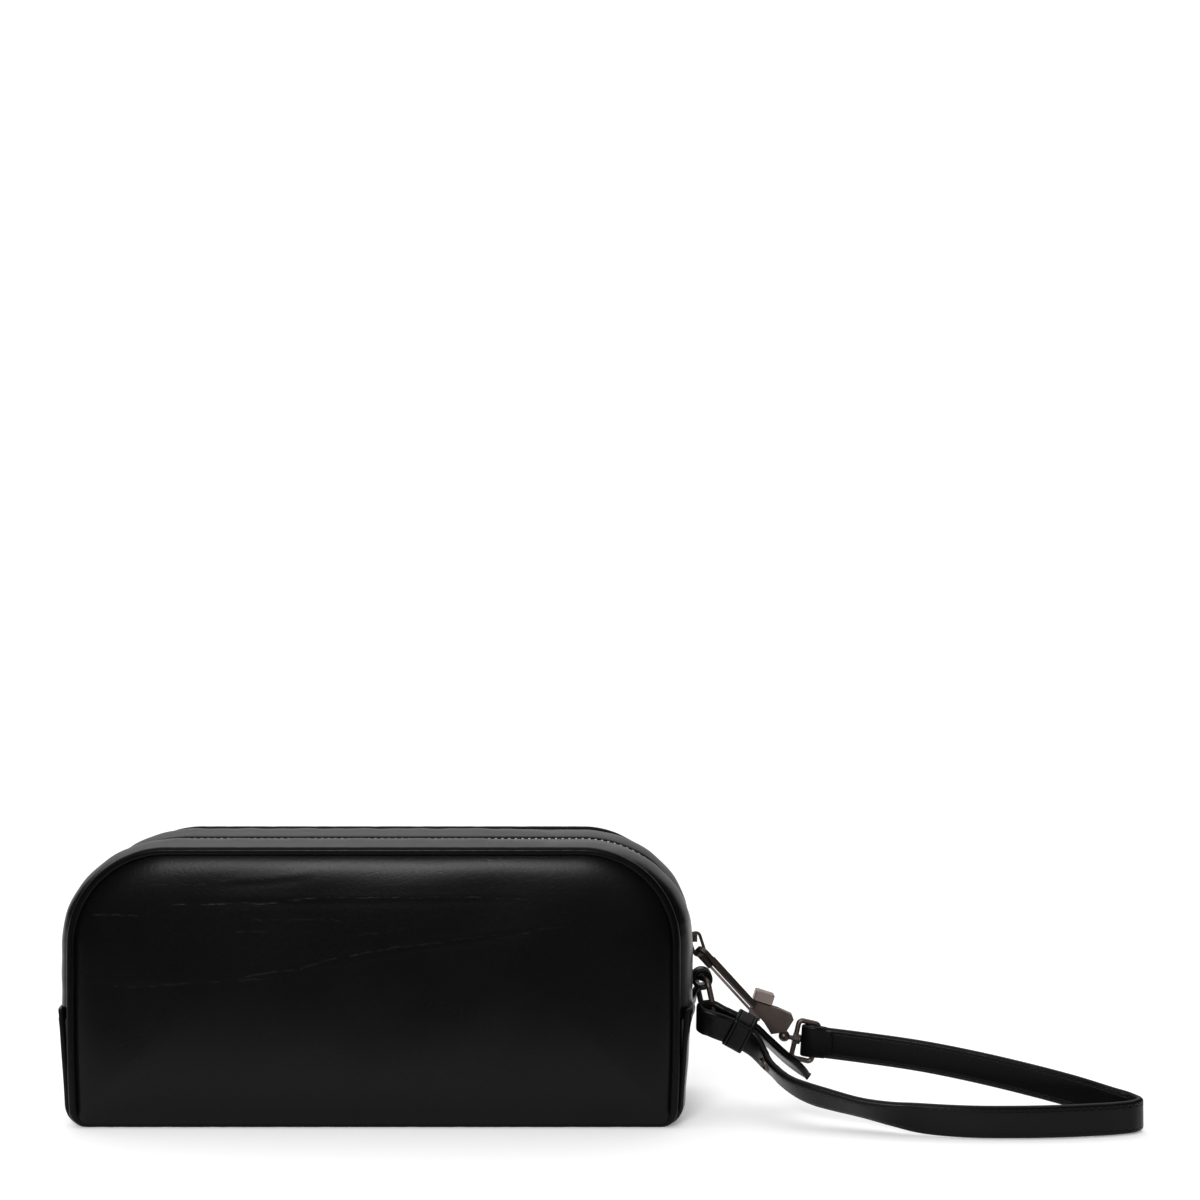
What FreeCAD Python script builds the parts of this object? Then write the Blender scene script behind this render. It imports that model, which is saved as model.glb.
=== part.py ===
import FreeCAD, Part
import math
import os
import Sketcher
from FreeCAD import Placement, Rotation, Vector

# Makeup bag: a soft leather zip pouch with a dome-topped front, a ring on its
# right side and a wrist strap that runs from the ring to a snap hook on the
# zip.  Millimetres, +Z up.  The origin is the middle of the base on the
# surface that the bag stands on, the front faces -Y and the strap is at +X.

SIZES = [
    ("bag_width", 230.0, "over the piping of the front panel"),
    ("bag_height", 104.5, "from the base to the top of the piping"),
    ("bag_depth", 72.0, "over both pipings"),
    ("top_radius", 37.0, "upper corners of the front"),
    ("base_radius", 6.0, "lower corners of the front"),
    ("piping_radius", 1.6, "round welt in the front and back seams"),
    ("leather", 1.6, "thickness of one panel"),
    ("lining", 0.8, "thickness of the lining"),
    ("side_bulge", 2.4, "how far the gusset stands out past the piping at the sides"),
    ("gusset_radius", 38.5, "upper corners of the zip gusset"),
    ("gusset_top", 103.9, "top face of the zip gusset"),
    ("gusset_foot", 40.0, "lower end of the zip gusset, under the base gusset"),
    ("base_gusset_top", 44.0, "upper edge of the base gusset at each side"),
    ("base_gusset_leather", 2.2, "folded and doubled leather of the base gusset"),
    ("mouth_half_length", 74.0, "half the length of the lips that open"),
    ("zip_opening", 4.6, "half the gap between the leather edges of the zip"),
    ("tape_half_width", 9.0, "half the width of the closed zip over its tapes"),
    ("tape_thickness", 0.5, "woven tape"),
    ("tooth_pitch", 2.6, "distance from tooth to tooth"),
    ("tooth_length", 1.5, "one tooth along the zip"),
    ("tooth_height", 2.2, "one tooth through the tape"),
    ("tooth_reach", 3.2, "outer end of a tooth from the middle of the zip"),
    ("tooth_gap", 0.45, "inner end of a tooth from the middle of the zip"),
    ("slider_length", 10.0, "zip slider along the zip"),
    ("slider_width", 8.0, "zip slider across the zip"),
    ("bar_reach", 3.3, "slider's cross bar above the gusset"),
    ("link_wire", 0.6, "radius of the puller link's wire"),
    ("tab_width", 8.0, "leather tab that holds the ring"),
    ("tab_outer", 3.9, "outer radius of the rolled tab"),
    ("tab_inner", 2.6, "inner radius of the rolled tab"),
    ("tab_reach", 5.8, "middle of the roll outside the gusset"),
    ("tab_level", 49.8, "height of the middle of the roll"),
    ("tab_offset", -2.0, "place of the tab along the depth"),
    ("ring_wire", 1.1, "radius of the ring's wire"),
    ("ring_reach", 20.6, "ring between the middles of its short bars"),
    ("ring_span", 14.8, "ring between the middles of its long bars"),
    ("ring_corner", 3.0, "bend of the ring's wire"),
    ("ring_turn", 16.0, "degrees that the ring is turned in its tab"),
    ("ring_lean", 12.0, "degrees that the ring hangs away from the bag"),
    ("strap_width", 12.0, "wrist strap"),
    ("strap_thickness", 2.8, "two layers of leather"),
    ("keeper_length", 8.0, "leather band over both layers of the strap"),
    ("keeper_leather", 1.2, "thickness of that band"),
    ("hook_pitch", 47.5, "degrees that the hook points below level"),
    ("shoulder_pitch", 30.0, "slope of the hook's shoulder"),
    ("loop_pitch", 13.0, "degrees that the strap loop points below level"),
    ("hook_bar", 2.3, "width of the hook's bars"),
    ("loop_wire", 1.0, "radius of the strap loop's wire"),
    ("ball_radius", 2.2, "head of the swivel pin"),
    ("pin_radius", 0.9, "shank of the swivel pin"),
    ("running_gap", 0.1, "clearance of moving metal parts"),
]

doc = FreeCAD.newDocument("makeup_bag")
sheet = doc.addObject("Spreadsheet::Sheet", "sheet")
for row, (alias, number, meaning) in enumerate(SIZES, start=1):
    sheet.set(f"A{row}", meaning)
    sheet.set(f"B{row}", str(number))
    sheet.setAlias(f"B{row}", alias)
doc.recompute()


def size(alias):
    """The number that the sheet holds under an alias."""
    return float(sheet.get(alias))


def length(plain=0.0, **factors):
    """A number and its expression: plain + factor * alias, summed over the aliases."""
    number = plain + sum(factor * size(alias) for alias, factor in factors.items())
    terms = [f"{plain}"] + [f"{factor} * sheet.{alias}" for alias, factor in factors.items()]
    return number, " + ".join(terms)


def less(first, second):
    """The difference of two lengths."""
    return first[0] - second[0], f"{first[1]} - ({second[1]})"


def minus(one):
    """A length with its sign turned."""
    return -one[0], f"-({one[1]})"


# ---------------------------------------------------------------- helpers

sub_parts = []


def new_body(label):
    """An empty PartDesign body."""
    body = doc.addObject("PartDesign::Body", label)
    body.Label = label
    return body


def new_sketch(body, role, name):
    """A sketch on one of the body's own origin planes."""
    plane = [item for item in body.Origin.OriginFeatures if item.Role == role][0]
    sketch = body.newObject("Sketcher::SketchObject", name)
    sketch.AttachmentSupport = [(plane, "")]
    sketch.MapMode = "FlatFace"
    return sketch


def dimension(sketch, kind, references, amount):
    """A driving dimension bound to the sheet."""
    index = sketch.addConstraint(Sketcher.Constraint(kind, *references, amount[0]))
    sketch.setExpression(f"Constraints[{index}]", amount[1])


def outline(sketch, corners):
    """A closed loop of level and upright lines, with a round corner where a radius is given.

    corners lists (x, y, radius) in order; the radius is None at a sharp corner.
    """
    count = len(corners)
    starts, ends = [], []
    for place, (x, y, radius) in enumerate(corners):
        here = Vector(x[0], y[0], 0)
        before = corners[place - 1]
        after = corners[(place + 1) % count]
        into = (here - Vector(before[0][0], before[1][0], 0)).normalize()
        out = (Vector(after[0][0], after[1][0], 0) - here).normalize()
        reach = radius[0] if radius else 0.0
        ends.append(here - into * reach)
        starts.append(here + out * reach)
    lines = []
    for place in range(count):
        segment = Part.LineSegment(starts[place], ends[(place + 1) % count])
        lines.append(sketch.addGeometry(segment, False))
    for place in range(count):
        begin = corners[place]
        upright = abs(starts[place].x - ends[(place + 1) % count].x) < 1e-6
        line = lines[place]
        sketch.addConstraint(Sketcher.Constraint("Vertical" if upright else "Horizontal", line))
        amount = begin[0] if upright else begin[1]
        if abs(amount[0]) < 1e-9:
            axis = -2 if upright else -1
            sketch.addConstraint(Sketcher.Constraint("PointOnObject", line, 1, axis))
        else:
            kind = "DistanceX" if upright else "DistanceY"
            dimension(sketch, kind, (-1, 1, line, 1), amount)
    for place, (x, y, radius) in enumerate(corners):
        incoming, outgoing = lines[place - 1], lines[place]
        if radius is None:
            sketch.addConstraint(Sketcher.Constraint("Coincident", incoming, 2, outgoing, 1))
            continue
        corner = Vector(x[0], y[0], 0)
        middle = ends[place] + starts[place] - corner
        first, last = ends[place] - middle, starts[place] - middle
        turn = first.cross(last).z
        if turn < 0:
            first, last = last, first
        circle = Part.Circle(middle, Vector(0, 0, 1), radius[0])
        angle = math.atan2(first.y, first.x)
        arc = sketch.addGeometry(Part.ArcOfCircle(circle, angle, angle + math.pi / 2), False)
        near, far = (1, 2) if turn > 0 else (2, 1)
        sketch.addConstraint(Sketcher.Constraint("Tangent", incoming, 2, arc, near))
        sketch.addConstraint(Sketcher.Constraint("Tangent", arc, far, outgoing, 1))
        dimension(sketch, "Radius", (arc,), radius)


def polygon(sketch, points):
    """A closed loop of straight lines through points given as two lengths each."""
    count = len(points)
    corners = [Vector(x[0], y[0], 0) for x, y in points]
    lines = []
    for place in range(count):
        segment = Part.LineSegment(corners[place], corners[(place + 1) % count])
        lines.append(sketch.addGeometry(segment, False))
    for place in range(count):
        sketch.addConstraint(Sketcher.Constraint("Coincident", lines[place - 1], 2, lines[place], 1))
        dimension(sketch, "DistanceX", (-1, 1, lines[place], 1), points[place][0])
        dimension(sketch, "DistanceY", (-1, 1, lines[place], 1), points[place][1])


def pad(body, sketch, thickness):
    """The sketch's area, thickened away from the plane along the sketch's normal."""
    feature = body.newObject("PartDesign::Pad", sketch.Name + "_pad")
    feature.Profile = sketch
    feature.Length = thickness[0]
    feature.setExpression("Length", thickness[1])
    sketch.Visibility = False
    return feature


def place(item, x=None, y=None, z=None):
    """Puts an object's base at a place given by lengths."""
    for axis, amount in (("x", x), ("y", y), ("z", z)):
        if amount is not None:
            setattr(item.Placement.Base, axis, amount[0])
            item.setExpression(f"Placement.Base.{axis}", amount[1])


def slab(label, loops, thickness, back):
    """A flat piece cut to loops drawn in the XZ plane, its rear face at y = back."""
    body = new_body(label)
    sketch = new_sketch(body, "XZ_Plane", label + "_outline")
    for loop in loops:
        outline(sketch, loop)
    pad(body, sketch, thickness)
    place(body, y=back)
    sub_parts.append(body)
    return body


def block(label, low, high, keep=True):
    """A box from its low to its high corner, each given as three lengths."""
    box = doc.addObject("Part::Box", label)
    box.Label = label
    for name, first, last in zip(("Length", "Width", "Height"), low, high):
        extent = less(last, first)
        setattr(box, name, extent[0])
        box.setExpression(name, extent[1])
    place(box, *low)
    if keep:
        sub_parts.append(box)
    return box


def wire_loop(label, loop, wire, start, keep=True):
    """Round wire bent along a loop in the XZ plane; start is where the section sits."""
    body = new_body(label)
    spine = new_sketch(body, "XZ_Plane", label + "_path")
    outline(spine, loop)
    section = new_sketch(body, "YZ_Plane", label + "_section")
    circle = Part.Circle(Vector(0, start[0], 0), Vector(0, 0, 1), wire[0])
    index = section.addGeometry(circle, False)
    section.addConstraint(Sketcher.Constraint("PointOnObject", index, 3, -2))
    dimension(section, "DistanceY", (-1, 1, index, 3), start)
    dimension(section, "Radius", (index,), wire)
    pipe = body.newObject("PartDesign::AdditivePipe", label + "_pipe")
    pipe.Profile = section
    pipe.Spine = (spine, [f"Edge{number}" for number in range(1, spine.GeometryCount + 1)])
    spine.Visibility = False
    section.Visibility = False
    if keep:
        sub_parts.append(body)
    return body


def solid_of_code(label, shape, placement=None):
    """A piece whose shape is worked out by the code below from the sheet."""
    feature = doc.addObject("Part::Feature", label)
    feature.Label = label
    feature.Shape = shape
    if placement is not None:
        feature.Placement = placement
    sub_parts.append(feature)
    return feature


def dome(inset):
    """The outline of the front, a given number of piping radii inside its outer edge."""
    half = length(bag_width=0.5, piping_radius=-inset)
    low = length(piping_radius=inset)
    high = length(bag_height=1, piping_radius=-inset)
    upper = length(top_radius=1, piping_radius=-inset)
    lower = length(base_radius=1, piping_radius=-inset)
    return [(half, low, lower), (half, high, upper), (minus(half), high, upper), (minus(half), low, lower)]


# ------------------------------------------------- panels, piping and linings

seam_front = length(bag_depth=-0.5, piping_radius=2)
seam_back = minus(seam_front)
panel_recess = length(bag_depth=-0.5, piping_radius=0.5)

slab("front_panel", [dome(2)], length(leather=1), length(bag_depth=-0.5, piping_radius=0.5, leather=1))
slab("back_panel", [dome(2)], length(leather=1), minus(panel_recess))

for label, middle in (
    ("front_piping", length(bag_depth=-0.5, piping_radius=1)),
    ("back_piping", length(bag_depth=0.5, piping_radius=-1)),
):
    piping = wire_loop(label, dome(1), length(piping_radius=1), length(piping_radius=1))
    place(piping, y=middle)


def lining_outline():
    """The inside of the gusset, with room for its own lining."""
    half = length(bag_width=0.5, piping_radius=-2, lining=-1.5)
    low = length(base_gusset_leather=1, lining=4)
    high = length(bag_height=1, piping_radius=-2, lining=-1.5)
    upper = length(top_radius=1, piping_radius=-2, lining=-1.5)
    lower = length(base_radius=0.5)
    return [(half, low, lower), (half, high, upper), (minus(half), high, upper), (minus(half), low, lower)]


lining_back = length(bag_depth=-0.5, piping_radius=0.5, leather=1, lining=1)
slab("front_lining", [lining_outline()], length(lining=1), lining_back)
slab("back_lining", [lining_outline()], length(lining=1), minus(length(bag_depth=-0.5, piping_radius=0.5, leather=1)))

# ------------------------------------------------------------------- gusset

gusset_length = length(bag_depth=1, piping_radius=-4)
gusset_side = length(bag_width=0.5, side_bulge=1)
base_side = length(bag_width=0.5, side_bulge=1, base_gusset_leather=1)


def trough(side, floor, top, skin, radius):
    """A U lying open upwards: its outer side, floor level, top edge, skin and outer bend."""
    inner = less(side, skin)
    bed = (floor[0] + skin[0], f"{floor[1]} + {skin[1]}")
    bend = less(radius, skin)
    return [
        (side, top, None),
        (inner, top, None),
        (inner, bed, bend),
        (minus(inner), bed, bend),
        (minus(inner), top, None),
        (minus(side), top, None),
        (minus(side), floor, radius),
        (side, floor, radius),
    ]


# The base gusset runs under the bag and up both sides, over the ends of the zip gusset.
base_gusset = new_body("base_gusset_strip")
base_sketch = new_sketch(base_gusset, "XZ_Plane", "base_gusset_outline")
outline(base_sketch, trough(
    base_side, length(), length(base_gusset_top=1), length(base_gusset_leather=1), length(base_radius=1.2),
))
pad(base_gusset, base_sketch, gusset_length)
place(base_gusset, y=seam_back)

# A shallow bed inside its right end takes the tail of the ring tab.
tail_leather = length(tab_outer=1, tab_inner=-1)
tail_bed = block(
    "tail_bed",
    (gusset_side, length(tab_offset=1, tab_width=-0.5, running_gap=-1), length(gusset_foot=1, running_gap=-1)),
    (
        length(bag_width=0.5, side_bulge=1, tab_outer=1, tab_inner=-1, running_gap=1),
        length(tab_offset=1, tab_width=0.5, running_gap=1),
        length(base_gusset_top=1, leather=1),
    ),
    keep=False,
)
cut_gusset = doc.addObject("Part::Cut", "base_gusset_cut")
cut_gusset.Base = base_gusset
cut_gusset.Tool = tail_bed
cut_gusset.Label = "base_gusset"
sub_parts.append(cut_gusset)

block(
    "base_board",
    (length(bag_width=-0.5, base_radius=2), less(seam_front, length(running_gap=-5)), length(base_gusset_leather=1)),
    (
        length(bag_width=0.5, base_radius=-2),
        less(seam_back, length(running_gap=5)),
        length(base_gusset_leather=1, leather=1),
    ),
)


def corner_strip(outer, skin, mirrored):
    """One upper corner of the zip gusset: the level end, the round corner and the side.

    outer is how far the outer face lies inside the gusset's face, skin the thickness.
    """
    side = length(bag_width=0.5, side_bulge=1, **outer)
    top = length(gusset_top=1, **outer)
    bend = length(gusset_radius=1, **outer)
    inner = less(side, skin)
    under = less(top, skin)
    bend_inner = less(bend, skin)
    end = length(mouth_half_length=1, running_gap=2)
    foot = length(gusset_foot=1)
    corners = [
        (side, foot, None), (side, top, bend), (end, top, None),
        (end, under, None), (inner, under, bend_inner), (inner, foot, None),
    ]
    if mirrored:
        corners = [(minus(x), y, radius) for x, y, radius in corners]
        corners.reverse()
    return corners


# The zip gusset: a leather strip on each side of the zip, its straight top the
# lip that opens, and the zip tape under its edge.
lip_end = length(mouth_half_length=1, running_gap=-2)
skin = length(leather=1)
tape = length(tape_thickness=1)
leather_edge = length(zip_opening=1)
tape_edge = length(tape_half_width=1)
tooth_edge = length(tooth_reach=1)
strip_width = less(minus(leather_edge), seam_front)
tape_width = less(tape_edge, tooth_edge)
for side_name, mirrored in (("right", False), ("left", True)):
    strip = [corner_strip({}, skin, mirrored)]
    slab(f"front_strip_{side_name}", strip, strip_width, minus(leather_edge))
    slab(f"back_strip_{side_name}", strip, strip_width, seam_back)
    band = [corner_strip({"leather": -1}, tape, mirrored)]
    slab(f"front_tape_{side_name}", band, tape_width, minus(tooth_edge))
    slab(f"back_tape_{side_name}", band, tape_width, tape_edge)

lip_top = length(gusset_top=1)
lip_under = length(gusset_top=1, leather=-1)
tape_under = length(gusset_top=1, leather=-1, tape_thickness=-1)
block("front_lip", (minus(lip_end), seam_front, lip_under), (lip_end, minus(leather_edge), lip_top))
block("back_lip", (minus(lip_end), leather_edge, lip_under), (lip_end, seam_back, lip_top))
block("front_lip_tape", (minus(lip_end), minus(tape_edge), tape_under), (lip_end, minus(tooth_edge), lip_under))
block("back_lip_tape", (minus(lip_end), tooth_edge, tape_under), (lip_end, tape_edge, lip_under))

# The gusset's lining: a U inside the base and the sides, below the zip.
lining_side = length(bag_width=0.5, side_bulge=1, leather=-1, tape_thickness=-1.2)
slab(
    "gusset_lining",
    [trough(
        lining_side, length(base_gusset_leather=1, leather=1), length(gusset_foot=1), length(lining=1),
        length(base_radius=1),
    )],
    less(gusset_length, length(lining=2, leather=1)),
    less(seam_back, length(lining=1, leather=0.5)),
)

block(
    "slip_pocket",
    (length(bag_width=-0.3), length(bag_depth=0.5, leather=-1, piping_radius=-0.5, lining=-2.2), length(20)),
    (length(bag_width=0.3), length(bag_depth=0.5, leather=-1, piping_radius=-0.5, lining=-1), length(72)),
)

# --------------------------------------------------------------- zip teeth

zip_depth = size("leather") + size("tape_thickness") / 2
zip_side = size("bag_width") / 2 + size("side_bulge") - zip_depth
zip_top = size("gusset_top") - zip_depth
zip_bend = size("gusset_radius") - zip_depth
corner_x = size("bag_width") / 2 + size("side_bulge") - size("gusset_radius")
corner_z = size("gusset_top") - size("gusset_radius")
stop_level = 58.2


def zip_point(travel):
    """Place and pitch on the zip's centre line, travel measured from the middle of the top.

    The line runs level to the corner, round it, then down the side.
    """
    bend_length = zip_bend * math.pi / 2
    if travel <= corner_x:
        return travel, zip_top, 0.0
    if travel <= corner_x + bend_length:
        angle = (travel - corner_x) / zip_bend
        x = corner_x + zip_bend * math.sin(angle)
        return x, corner_z + zip_bend * math.cos(angle), math.degrees(angle)
    return zip_side, corner_z - (travel - corner_x - bend_length), 90.0


def tooth(travel, side, row):
    """One tooth; side is 1 or -1 along X, row is -1 at the front and 1 at the back."""
    along, high = size("tooth_length"), size("tooth_height")
    reach = size("tooth_reach") - size("tooth_gap")
    low_y = size("tooth_gap") if row > 0 else -size("tooth_reach")
    x, z, pitch = zip_point(travel)
    shape = Part.makeBox(along, reach, high, Vector(-along / 2, low_y, -high / 2))
    shape.Placement = Placement(Vector(side * x, 0, z), Rotation(Vector(0, 1, 0), side * pitch))
    return shape


def teeth(first, last, side, row):
    """Teeth at every pitch from first to last, the back row half a pitch on."""
    pitch = size("tooth_pitch")
    offset = pitch / 2 if row > 0 else 0.0
    count = int((last - first - offset) // pitch) + 1
    return [tooth(first + offset + number * pitch, side, row) for number in range(count)]


lip_last = size("mouth_half_length") - size("tooth_length")
corner_first = size("mouth_half_length") + size("tooth_length")
zip_last = corner_x + zip_bend * math.pi / 2 + corner_z - stop_level - size("tooth_pitch")
for name, row in (("front", -1), ("back", 1)):
    middle_row = teeth(0.0, lip_last, 1, row) + teeth(size("tooth_pitch"), lip_last, -1, row)
    solid_of_code(f"{name}_lip_teeth", Part.makeCompound(middle_row))
    for side_name, side in (("right", 1), ("left", -1)):
        solid_of_code(f"{name}_teeth_{side_name}", Part.makeCompound(teeth(corner_first, zip_last, side, row)))

stops = []
for side in (1, -1):
    for row in (1, -1):
        stop = Part.makeBox(2.4, 2.4, 2.0, Vector(-1.2, 0.6 if row > 0 else -3.0, -1.0))
        stop.Placement = Placement(Vector(side * zip_side, 0, stop_level), Rotation(Vector(0, 1, 0), 90))
        stops.append(stop)
solid_of_code("zip_end_stops", Part.makeCompound(stops))

# -------------------------------------------------------- slider and link

# Drawn lying flat at the origin with the zip along X, then stood up against
# the right side of the bag at the lower end of the round corner.
half_long = length(slider_length=0.5)
half_wide = length(slider_width=0.5)
plate_low = length(-0.45)
plate_high = length(0.35)
shoe_high = length(-4.15)
shoe_low = length(-5.0)
slider_pieces = [
    block("slider_plate", (minus(half_long), minus(half_wide), plate_low), (half_long, half_wide, plate_high), False),
    block("slider_shoe", (minus(half_long), minus(half_wide), shoe_low), (half_long, half_wide, shoe_high), False),
    block("slider_post", (length(2.0), length(-0.3), shoe_low), (half_long, length(0.3), plate_high), False),
]
for name, low_y, high_y in (("front", -3.0, -2.0), ("back", 2.0, 3.0)):
    cheek = block(
        f"slider_cheek_{name}",
        (length(-1.5), length(low_y), plate_high),
        (length(1.5), length(high_y), length(0.9, bar_reach=1)),
        False,
    )
    slider_pieces.append(cheek)
bar = doc.addObject("Part::Cylinder", "slider_bar")
bar.Radius = 0.6
bar.Height = 5.0
bar.Placement = Placement(Vector(0, -2.5, size("bar_reach")), Rotation(Vector(1, 0, 0), -90))
bar.setExpression("Placement.Base.z", "sheet.bar_reach")
slider_pieces.append(bar)
slider = doc.addObject("Part::MultiFuse", "zip_slider")
slider.Shapes = slider_pieces
slider.Label = "zip_slider"
slider.Placement = Placement(Vector(gusset_side[0], 0, corner_z), Rotation(Vector(0, 1, 0), 90))
slider.setExpression("Placement.Base.x", gusset_side[1])
slider.setExpression("Placement.Base.z", "sheet.gusset_top - sheet.gusset_radius")
sub_parts.append(slider)

bar_x = gusset_side[0] + size("bar_reach")
bar_z = corner_z
throat_x, throat_z = 122.3, 60.5
link_heading = math.degrees(math.atan2(throat_x - bar_x, bar_z - throat_z))
link_half = length(2.1)
link_low = length(-7.3)
link_high = length(1.5)
link_bend = length(1.7)
link = wire_loop(
    "puller_link",
    [
        (link_half, link_low, link_bend), (link_half, link_high, link_bend),
        (minus(link_half), link_high, link_bend), (minus(link_half), link_low, link_bend),
    ],
    length(link_wire=1), link_low,
)
link.Placement = Placement(Vector(bar_x, 0, bar_z), Rotation(Vector(0, 1, 0), -link_heading))

# -------------------------------------------------------------- snap hook

# Drawn with its length along X, from the nose at the origin, and the side
# that carries the thumb piece upwards; then tipped down to its hanging pose.
hook_turn = Rotation(Vector(0, 1, 0), size("hook_pitch"))
hook_place = Placement(Vector(throat_x, 0, throat_z) - hook_turn.multVec(Vector(0.85, 0, -1.25)), hook_turn)
bar_half = length(hook_bar=0.5)

plate_half = length(2.3)
hook_plate = new_body("hook_plate")
plate_sketch = new_sketch(hook_plate, "XZ_Plane", "hook_plate_outline")
polygon(plate_sketch, [
    (length(27.0), length(-1.15)), (length(38.5), length(-1.6)), (length(43.6), length(-2.6)),
    (length(46.9), length(2.2)), (length(45.4), length(7.6)), (length(43.6), length(8.4)),
    (length(38.4), length(6.2)), (length(27.4), length(-0.15)),
])
pad(hook_plate, plate_sketch, length(4.6))
hook_plate.Placement = Placement(Vector(0, 2.3, 0), Rotation())

# The bar bends round at the nose into a short hook.
hook_bow = new_body("hook_bow")


def turn_freely(piece):
    """Unbinds the place of a block, so that it can be turned with the hook."""
    for axis in "xyz":
        piece.setExpression(f"Placement.Base.{axis}", None)


bow_sketch = new_sketch(hook_bow, "XY_Plane", "hook_bow_outline")
bow_side, bow_throat, bow_thin, bow_tip = length(3.9), length(1.9), length(1.7), length(9.4)
outline(bow_sketch, [
    (length(31.0), minus(bow_side), None), (length(31.0), minus(bow_throat), None),
    (bow_thin, minus(bow_throat), bow_thin), (bow_thin, bow_throat, bow_thin),
    (bow_tip, bow_throat, None), (bow_tip, bow_side, None),
    (length(), bow_side, length(3.6)), (length(), minus(bow_side), length(3.6)),
])
pad(hook_bow, bow_sketch, bow_thin)
bow_turn, bow_drop = -27.0, 1.4
bow_place = Placement(Vector(0, 0.64, 0), Rotation(Vector(1, 0, 0), bow_turn)) * Placement(
    Vector(0, 0, -bow_drop), Rotation()
)
hook_bow.Placement = bow_place * Placement(Vector(0, 0, -bow_thin[0] / 2), Rotation())

# The near bar is deeper than the bow, from the joint line to the plate.
hook_shank = block(
    "hook_shank",
    (length(6.5), minus(bow_side), length(hook_bar=-0.5)),
    (length(31.0), minus(bow_throat), length(hook_bar=0.5)), False,
)
turn_freely(hook_shank)
hook_shank.Placement = bow_place * Placement(Vector(6.5, -bow_side[0], -bar_half[0]), Rotation())

hook = doc.addObject("Part::MultiFuse", "hook_blank")
hook.Shapes = [hook_plate, hook_bow, hook_shank]
groove_angle = -size("shoulder_pitch")
groove = block(
    "slide_groove", (length(-5.0), length(-0.65), length(-1.0)), (length(6.6), length(0.65), length(1.0)), False,
)
shoulder_place = Placement(Vector(32.6, 0, 2.85), Rotation(Vector(0, 1, 0), groove_angle))
turn_freely(groove)
groove.Placement = shoulder_place * Placement(Vector(-5.0, -0.65, -1.0), Rotation())
hook_cut = doc.addObject("Part::Cut", "snap_hook")
hook_cut.Base = hook
hook_cut.Tool = groove
hook_cut.Label = "snap_hook"
hook_cut.Placement = hook_place
sub_parts.append(hook_cut)

# The slide: a thumb block on the shoulder, a key in the groove, a leg down the
# far side of the plate and the bolt that closes the hook.
slide_shapes = []
gap = size("running_gap")
thumb = Part.makeBox(7.6, 6.0, 4.4, Vector(-3.8, -2.4, gap))
thumb = thumb.makeFillet(0.6, thumb.Edges)
slide_key = Part.makeBox(4.4, 1.1, 1.4, Vector(-2.2, -0.55, -0.8))
leg = Part.makeBox(5.0, 1.3, 9.2, Vector(-3.4, 2.3 + gap, -7.6))
for shape in (thumb, slide_key, leg):
    shape.Placement = shoulder_place * shape.Placement
    slide_shapes.append(shape)
bolt = Part.makeBox(24.5, 1.1, 1.0, Vector(9.4 + gap, 2.3 + gap, -3.1))
slide_shape = slide_shapes[0].multiFuse(slide_shapes[1:] + [bolt]).removeSplitter()
solid_of_code("thumb_slide", slide_shape, hook_place)

# ------------------------------------------------------- swivel and loop

ball_local = Vector(46.6, 0, -0.4)
ball_place = hook_place.multVec(ball_local)
swivel_turn = Rotation(Vector(0, 1, 0), size("loop_pitch"))
swivel_place = Placement(ball_place + swivel_turn.multVec(Vector(1.6, 0, 0)), swivel_turn)

pin_length = 7.0
ball = doc.addObject("Part::Sphere", "pin_ball")
ball.Radius = size("ball_radius")
ball.setExpression("Radius", "sheet.ball_radius")
shank = doc.addObject("Part::Cylinder", "pin_shank")
shank.Radius = size("pin_radius")
shank.Height = pin_length
shank.setExpression("Radius", "sheet.pin_radius")
shank.Placement = Placement(Vector(0, 0, 0), Rotation(Vector(0, 1, 0), 90))
pin_blank = doc.addObject("Part::Fuse", "pin_blank")
pin_blank.Base = ball
pin_blank.Tool = shank
pin_blank.Placement = swivel_place
pin = doc.addObject("Part::Cut", "swivel_pin")
pin.Base = pin_blank
pin.Tool = hook_cut
pin.Label = "swivel_pin"
sub_parts.append(pin)

loop_left = 4.4
washer = doc.addObject("Part::Cylinder", "washer_blank")
washer.Radius = 1.9
washer.Height = 0.8
washer.Placement = Placement(Vector(loop_left + 1.15, 0, 0), Rotation(Vector(0, 1, 0), 90))
washer_hole = doc.addObject("Part::Cylinder", "washer_hole")
washer_hole.Radius = size("pin_radius")
washer_hole.Height = 2.0
washer_hole.Placement = Placement(Vector(loop_left + 1.0, 0, 0), Rotation(Vector(0, 1, 0), 90))
washer_cut = doc.addObject("Part::Cut", "swivel_washer")
washer_cut.Base = washer
washer_cut.Tool = washer_hole
washer_cut.Label = "swivel_washer"
washer_cut.Placement = swivel_place
sub_parts.append(washer_cut)

# The strap loop: wire bent to an oblong, with a flat eye for the pin in its near bar.
loop_long = 8.0
loop_half = 7.4
loop_wire_shape = wire_loop(
    "loop_wire_bend",
    [
        (length(loop_long / 2), length(-loop_half), length(1.6)),
        (length(loop_long / 2), length(loop_half), length(1.6)),
        (length(-loop_long / 2), length(loop_half), length(1.6)),
        (length(-loop_long / 2), length(-loop_half), length(1.6)),
    ],
    length(loop_wire=1), length(-loop_half), keep=False,
)
loop_eye = doc.addObject("Part::Cylinder", "loop_eye")
loop_eye.Radius = 2.1
loop_eye.Height = 2.0
loop_eye.Placement = Placement(Vector(-loop_long / 2 - 1.0, 0, 0), Rotation(Vector(0, 1, 0), 90))
loop_blank = doc.addObject("Part::Fuse", "loop_blank")
loop_blank.Base = loop_wire_shape
loop_blank.Tool = loop_eye
eye_hole = doc.addObject("Part::Cylinder", "eye_hole")
eye_hole.Radius = size("pin_radius") + 0.06
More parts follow.
